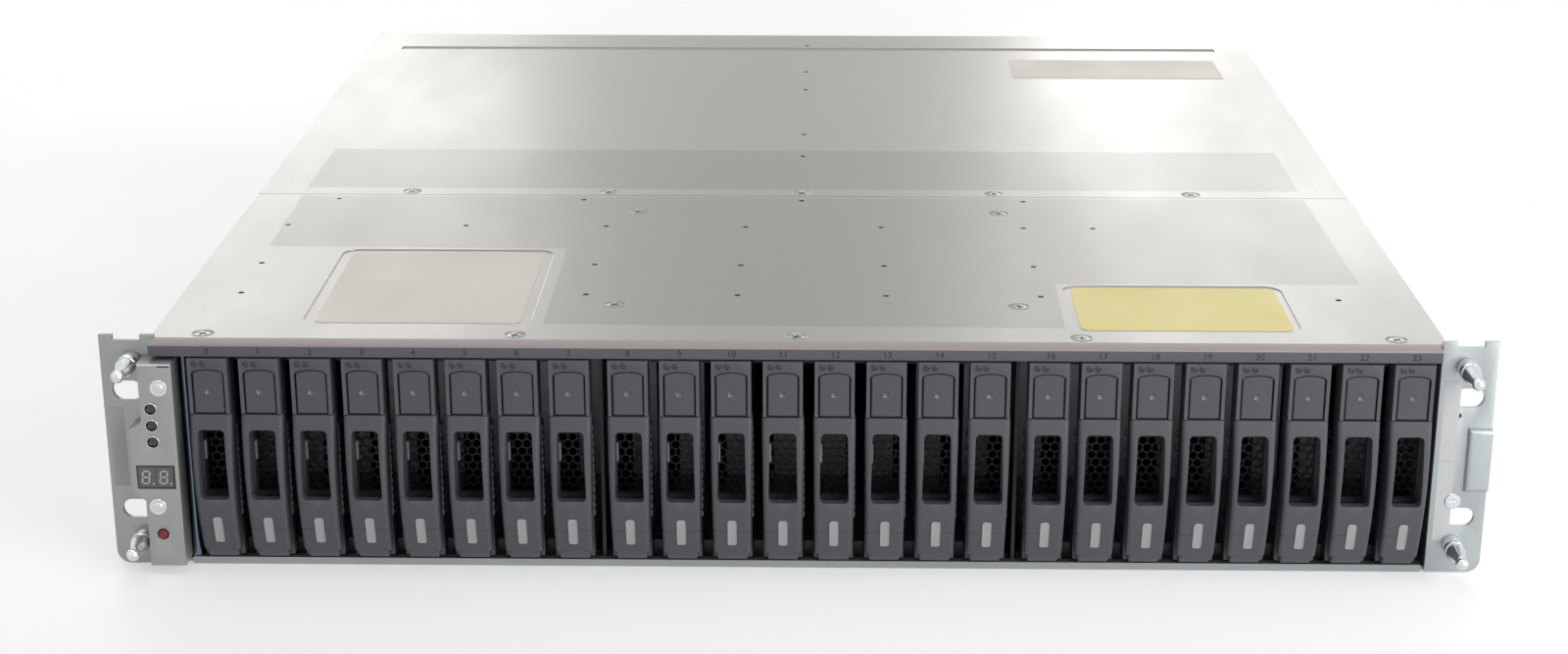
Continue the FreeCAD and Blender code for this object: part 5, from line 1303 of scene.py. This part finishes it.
for side in ("left", "right"):
    x, z = middle(f"power_supply_{side}") - 31, 21.5
    insert = frame_block((x - 13.3, x + 13.3), (z - 9.55, z + 9.55), 2.0, 466.3, 483.7, 2.4, 1.5)
    add_piece(f"inlet_insert_{side}", insert, BLACK, f"supply_{side}")
    pins = bmesh.new()
    for dx, dz in ((-7.0, -1.6), (7.0, -1.6), (0.0, 3.2)):
        outline = rounded((x + dx - 1.0, x + dx + 1.0), (z + dz - 2.0, z + dz + 2.0), 0.3, 2)
        pin = soften(push(outline, 467.0, 480.5), 0.4, 2, 60,
                     lambda e: all(v.co.y > 480 for v in e.verts))
        pins.from_mesh(plain_mesh(pin))
    add_piece(f"inlet_pins_{side}", pins, BRIGHT_ZINC, f"supply_{side}")
PORT_BACK, PORT_RISE = 470.4, 9
BAR = [(-0.25, -0.12), (0.25, -0.12), (0.25, 0.12), (-0.25, 0.12)]
CONTACT = stamp(soften(push(BAR, 0, 6), 0.05, 1, 60))
LAMP = turned([(1.3, 0.0), (1.3, 0.35), (1.0, 0.6), (0.5, 0.72), (0.1, 0.75)], 18, "y")


def contact_row(count, step, first):
    return repeat(ROWS, {"Stamp": CONTACT, "Finish": GOLD, "Columns": count, "Rows": 1,
                         "Column step": (step, 0, 0), "First": first})


for level in ("lower", "upper"):
    module = f"io_{level}"
    low = span(f"io_module_{level}")[2][0] + PORT_RISE
    cages, gold, lamps = bmesh.new(), bmesh.new(), bmesh.new()
    for port, at in (("a", -62), ("b", -36)):
        cage = frame_block((at - 7.6, at + 7.6), (low + 0.1, low + 8.3), 0.5, PORT_BACK, 484.9)
        cages.from_mesh(plain_mesh(cage))
        tongue = soften(push(rounded((at - 5.4, at + 5.4), (low + 3.4, low + 4.9), 0.3, 1),
                             PORT_BACK, 480.0), 0.2, 1, 60)
        gold.from_mesh(contact_row(10, 1.0, (at - 4.5, 473.4, low + 5.0)))
        add_piece(f"port_tongue_{level}_{port}", tongue, BLACK, module)
    jack = frame_block((24.1, 35.9), (low + 0.1, low + 11.9), 0.9, PORT_BACK, 484.4)
    add_piece(f"jack_liner_{level}", jack, BLACK, module)
    gold.from_mesh(contact_row(8, 1.05, (26.3, 476.0, low + 10.3)))
    for at in (-72.5, -49, -25.5):
        lamp = LAMP.copy()
        bmesh.ops.translate(lamp, verts=lamp.verts, vec=(at, REAR_FACE, low + 4.2))
        lamps.from_mesh(plain_mesh(lamp))
    add_piece(f"port_cages_{level}", cages, BRIGHT_ZINC, module)
    add_piece(f"contacts_{level}", gold, GOLD, module)
    add_piece(f"module_lamps_{level}", lamps, LENS, module)
print("ports", 4, "jacks", 2, "contact", len(CONTACT.data.polygons), "faces")

# %% [markdown]
# ## Tidy up and finish
# The stamps have done their work, so they are removed.

# %% Remove the stamps
for thing in STAMPS:
    bpy.data.objects.remove(thing)
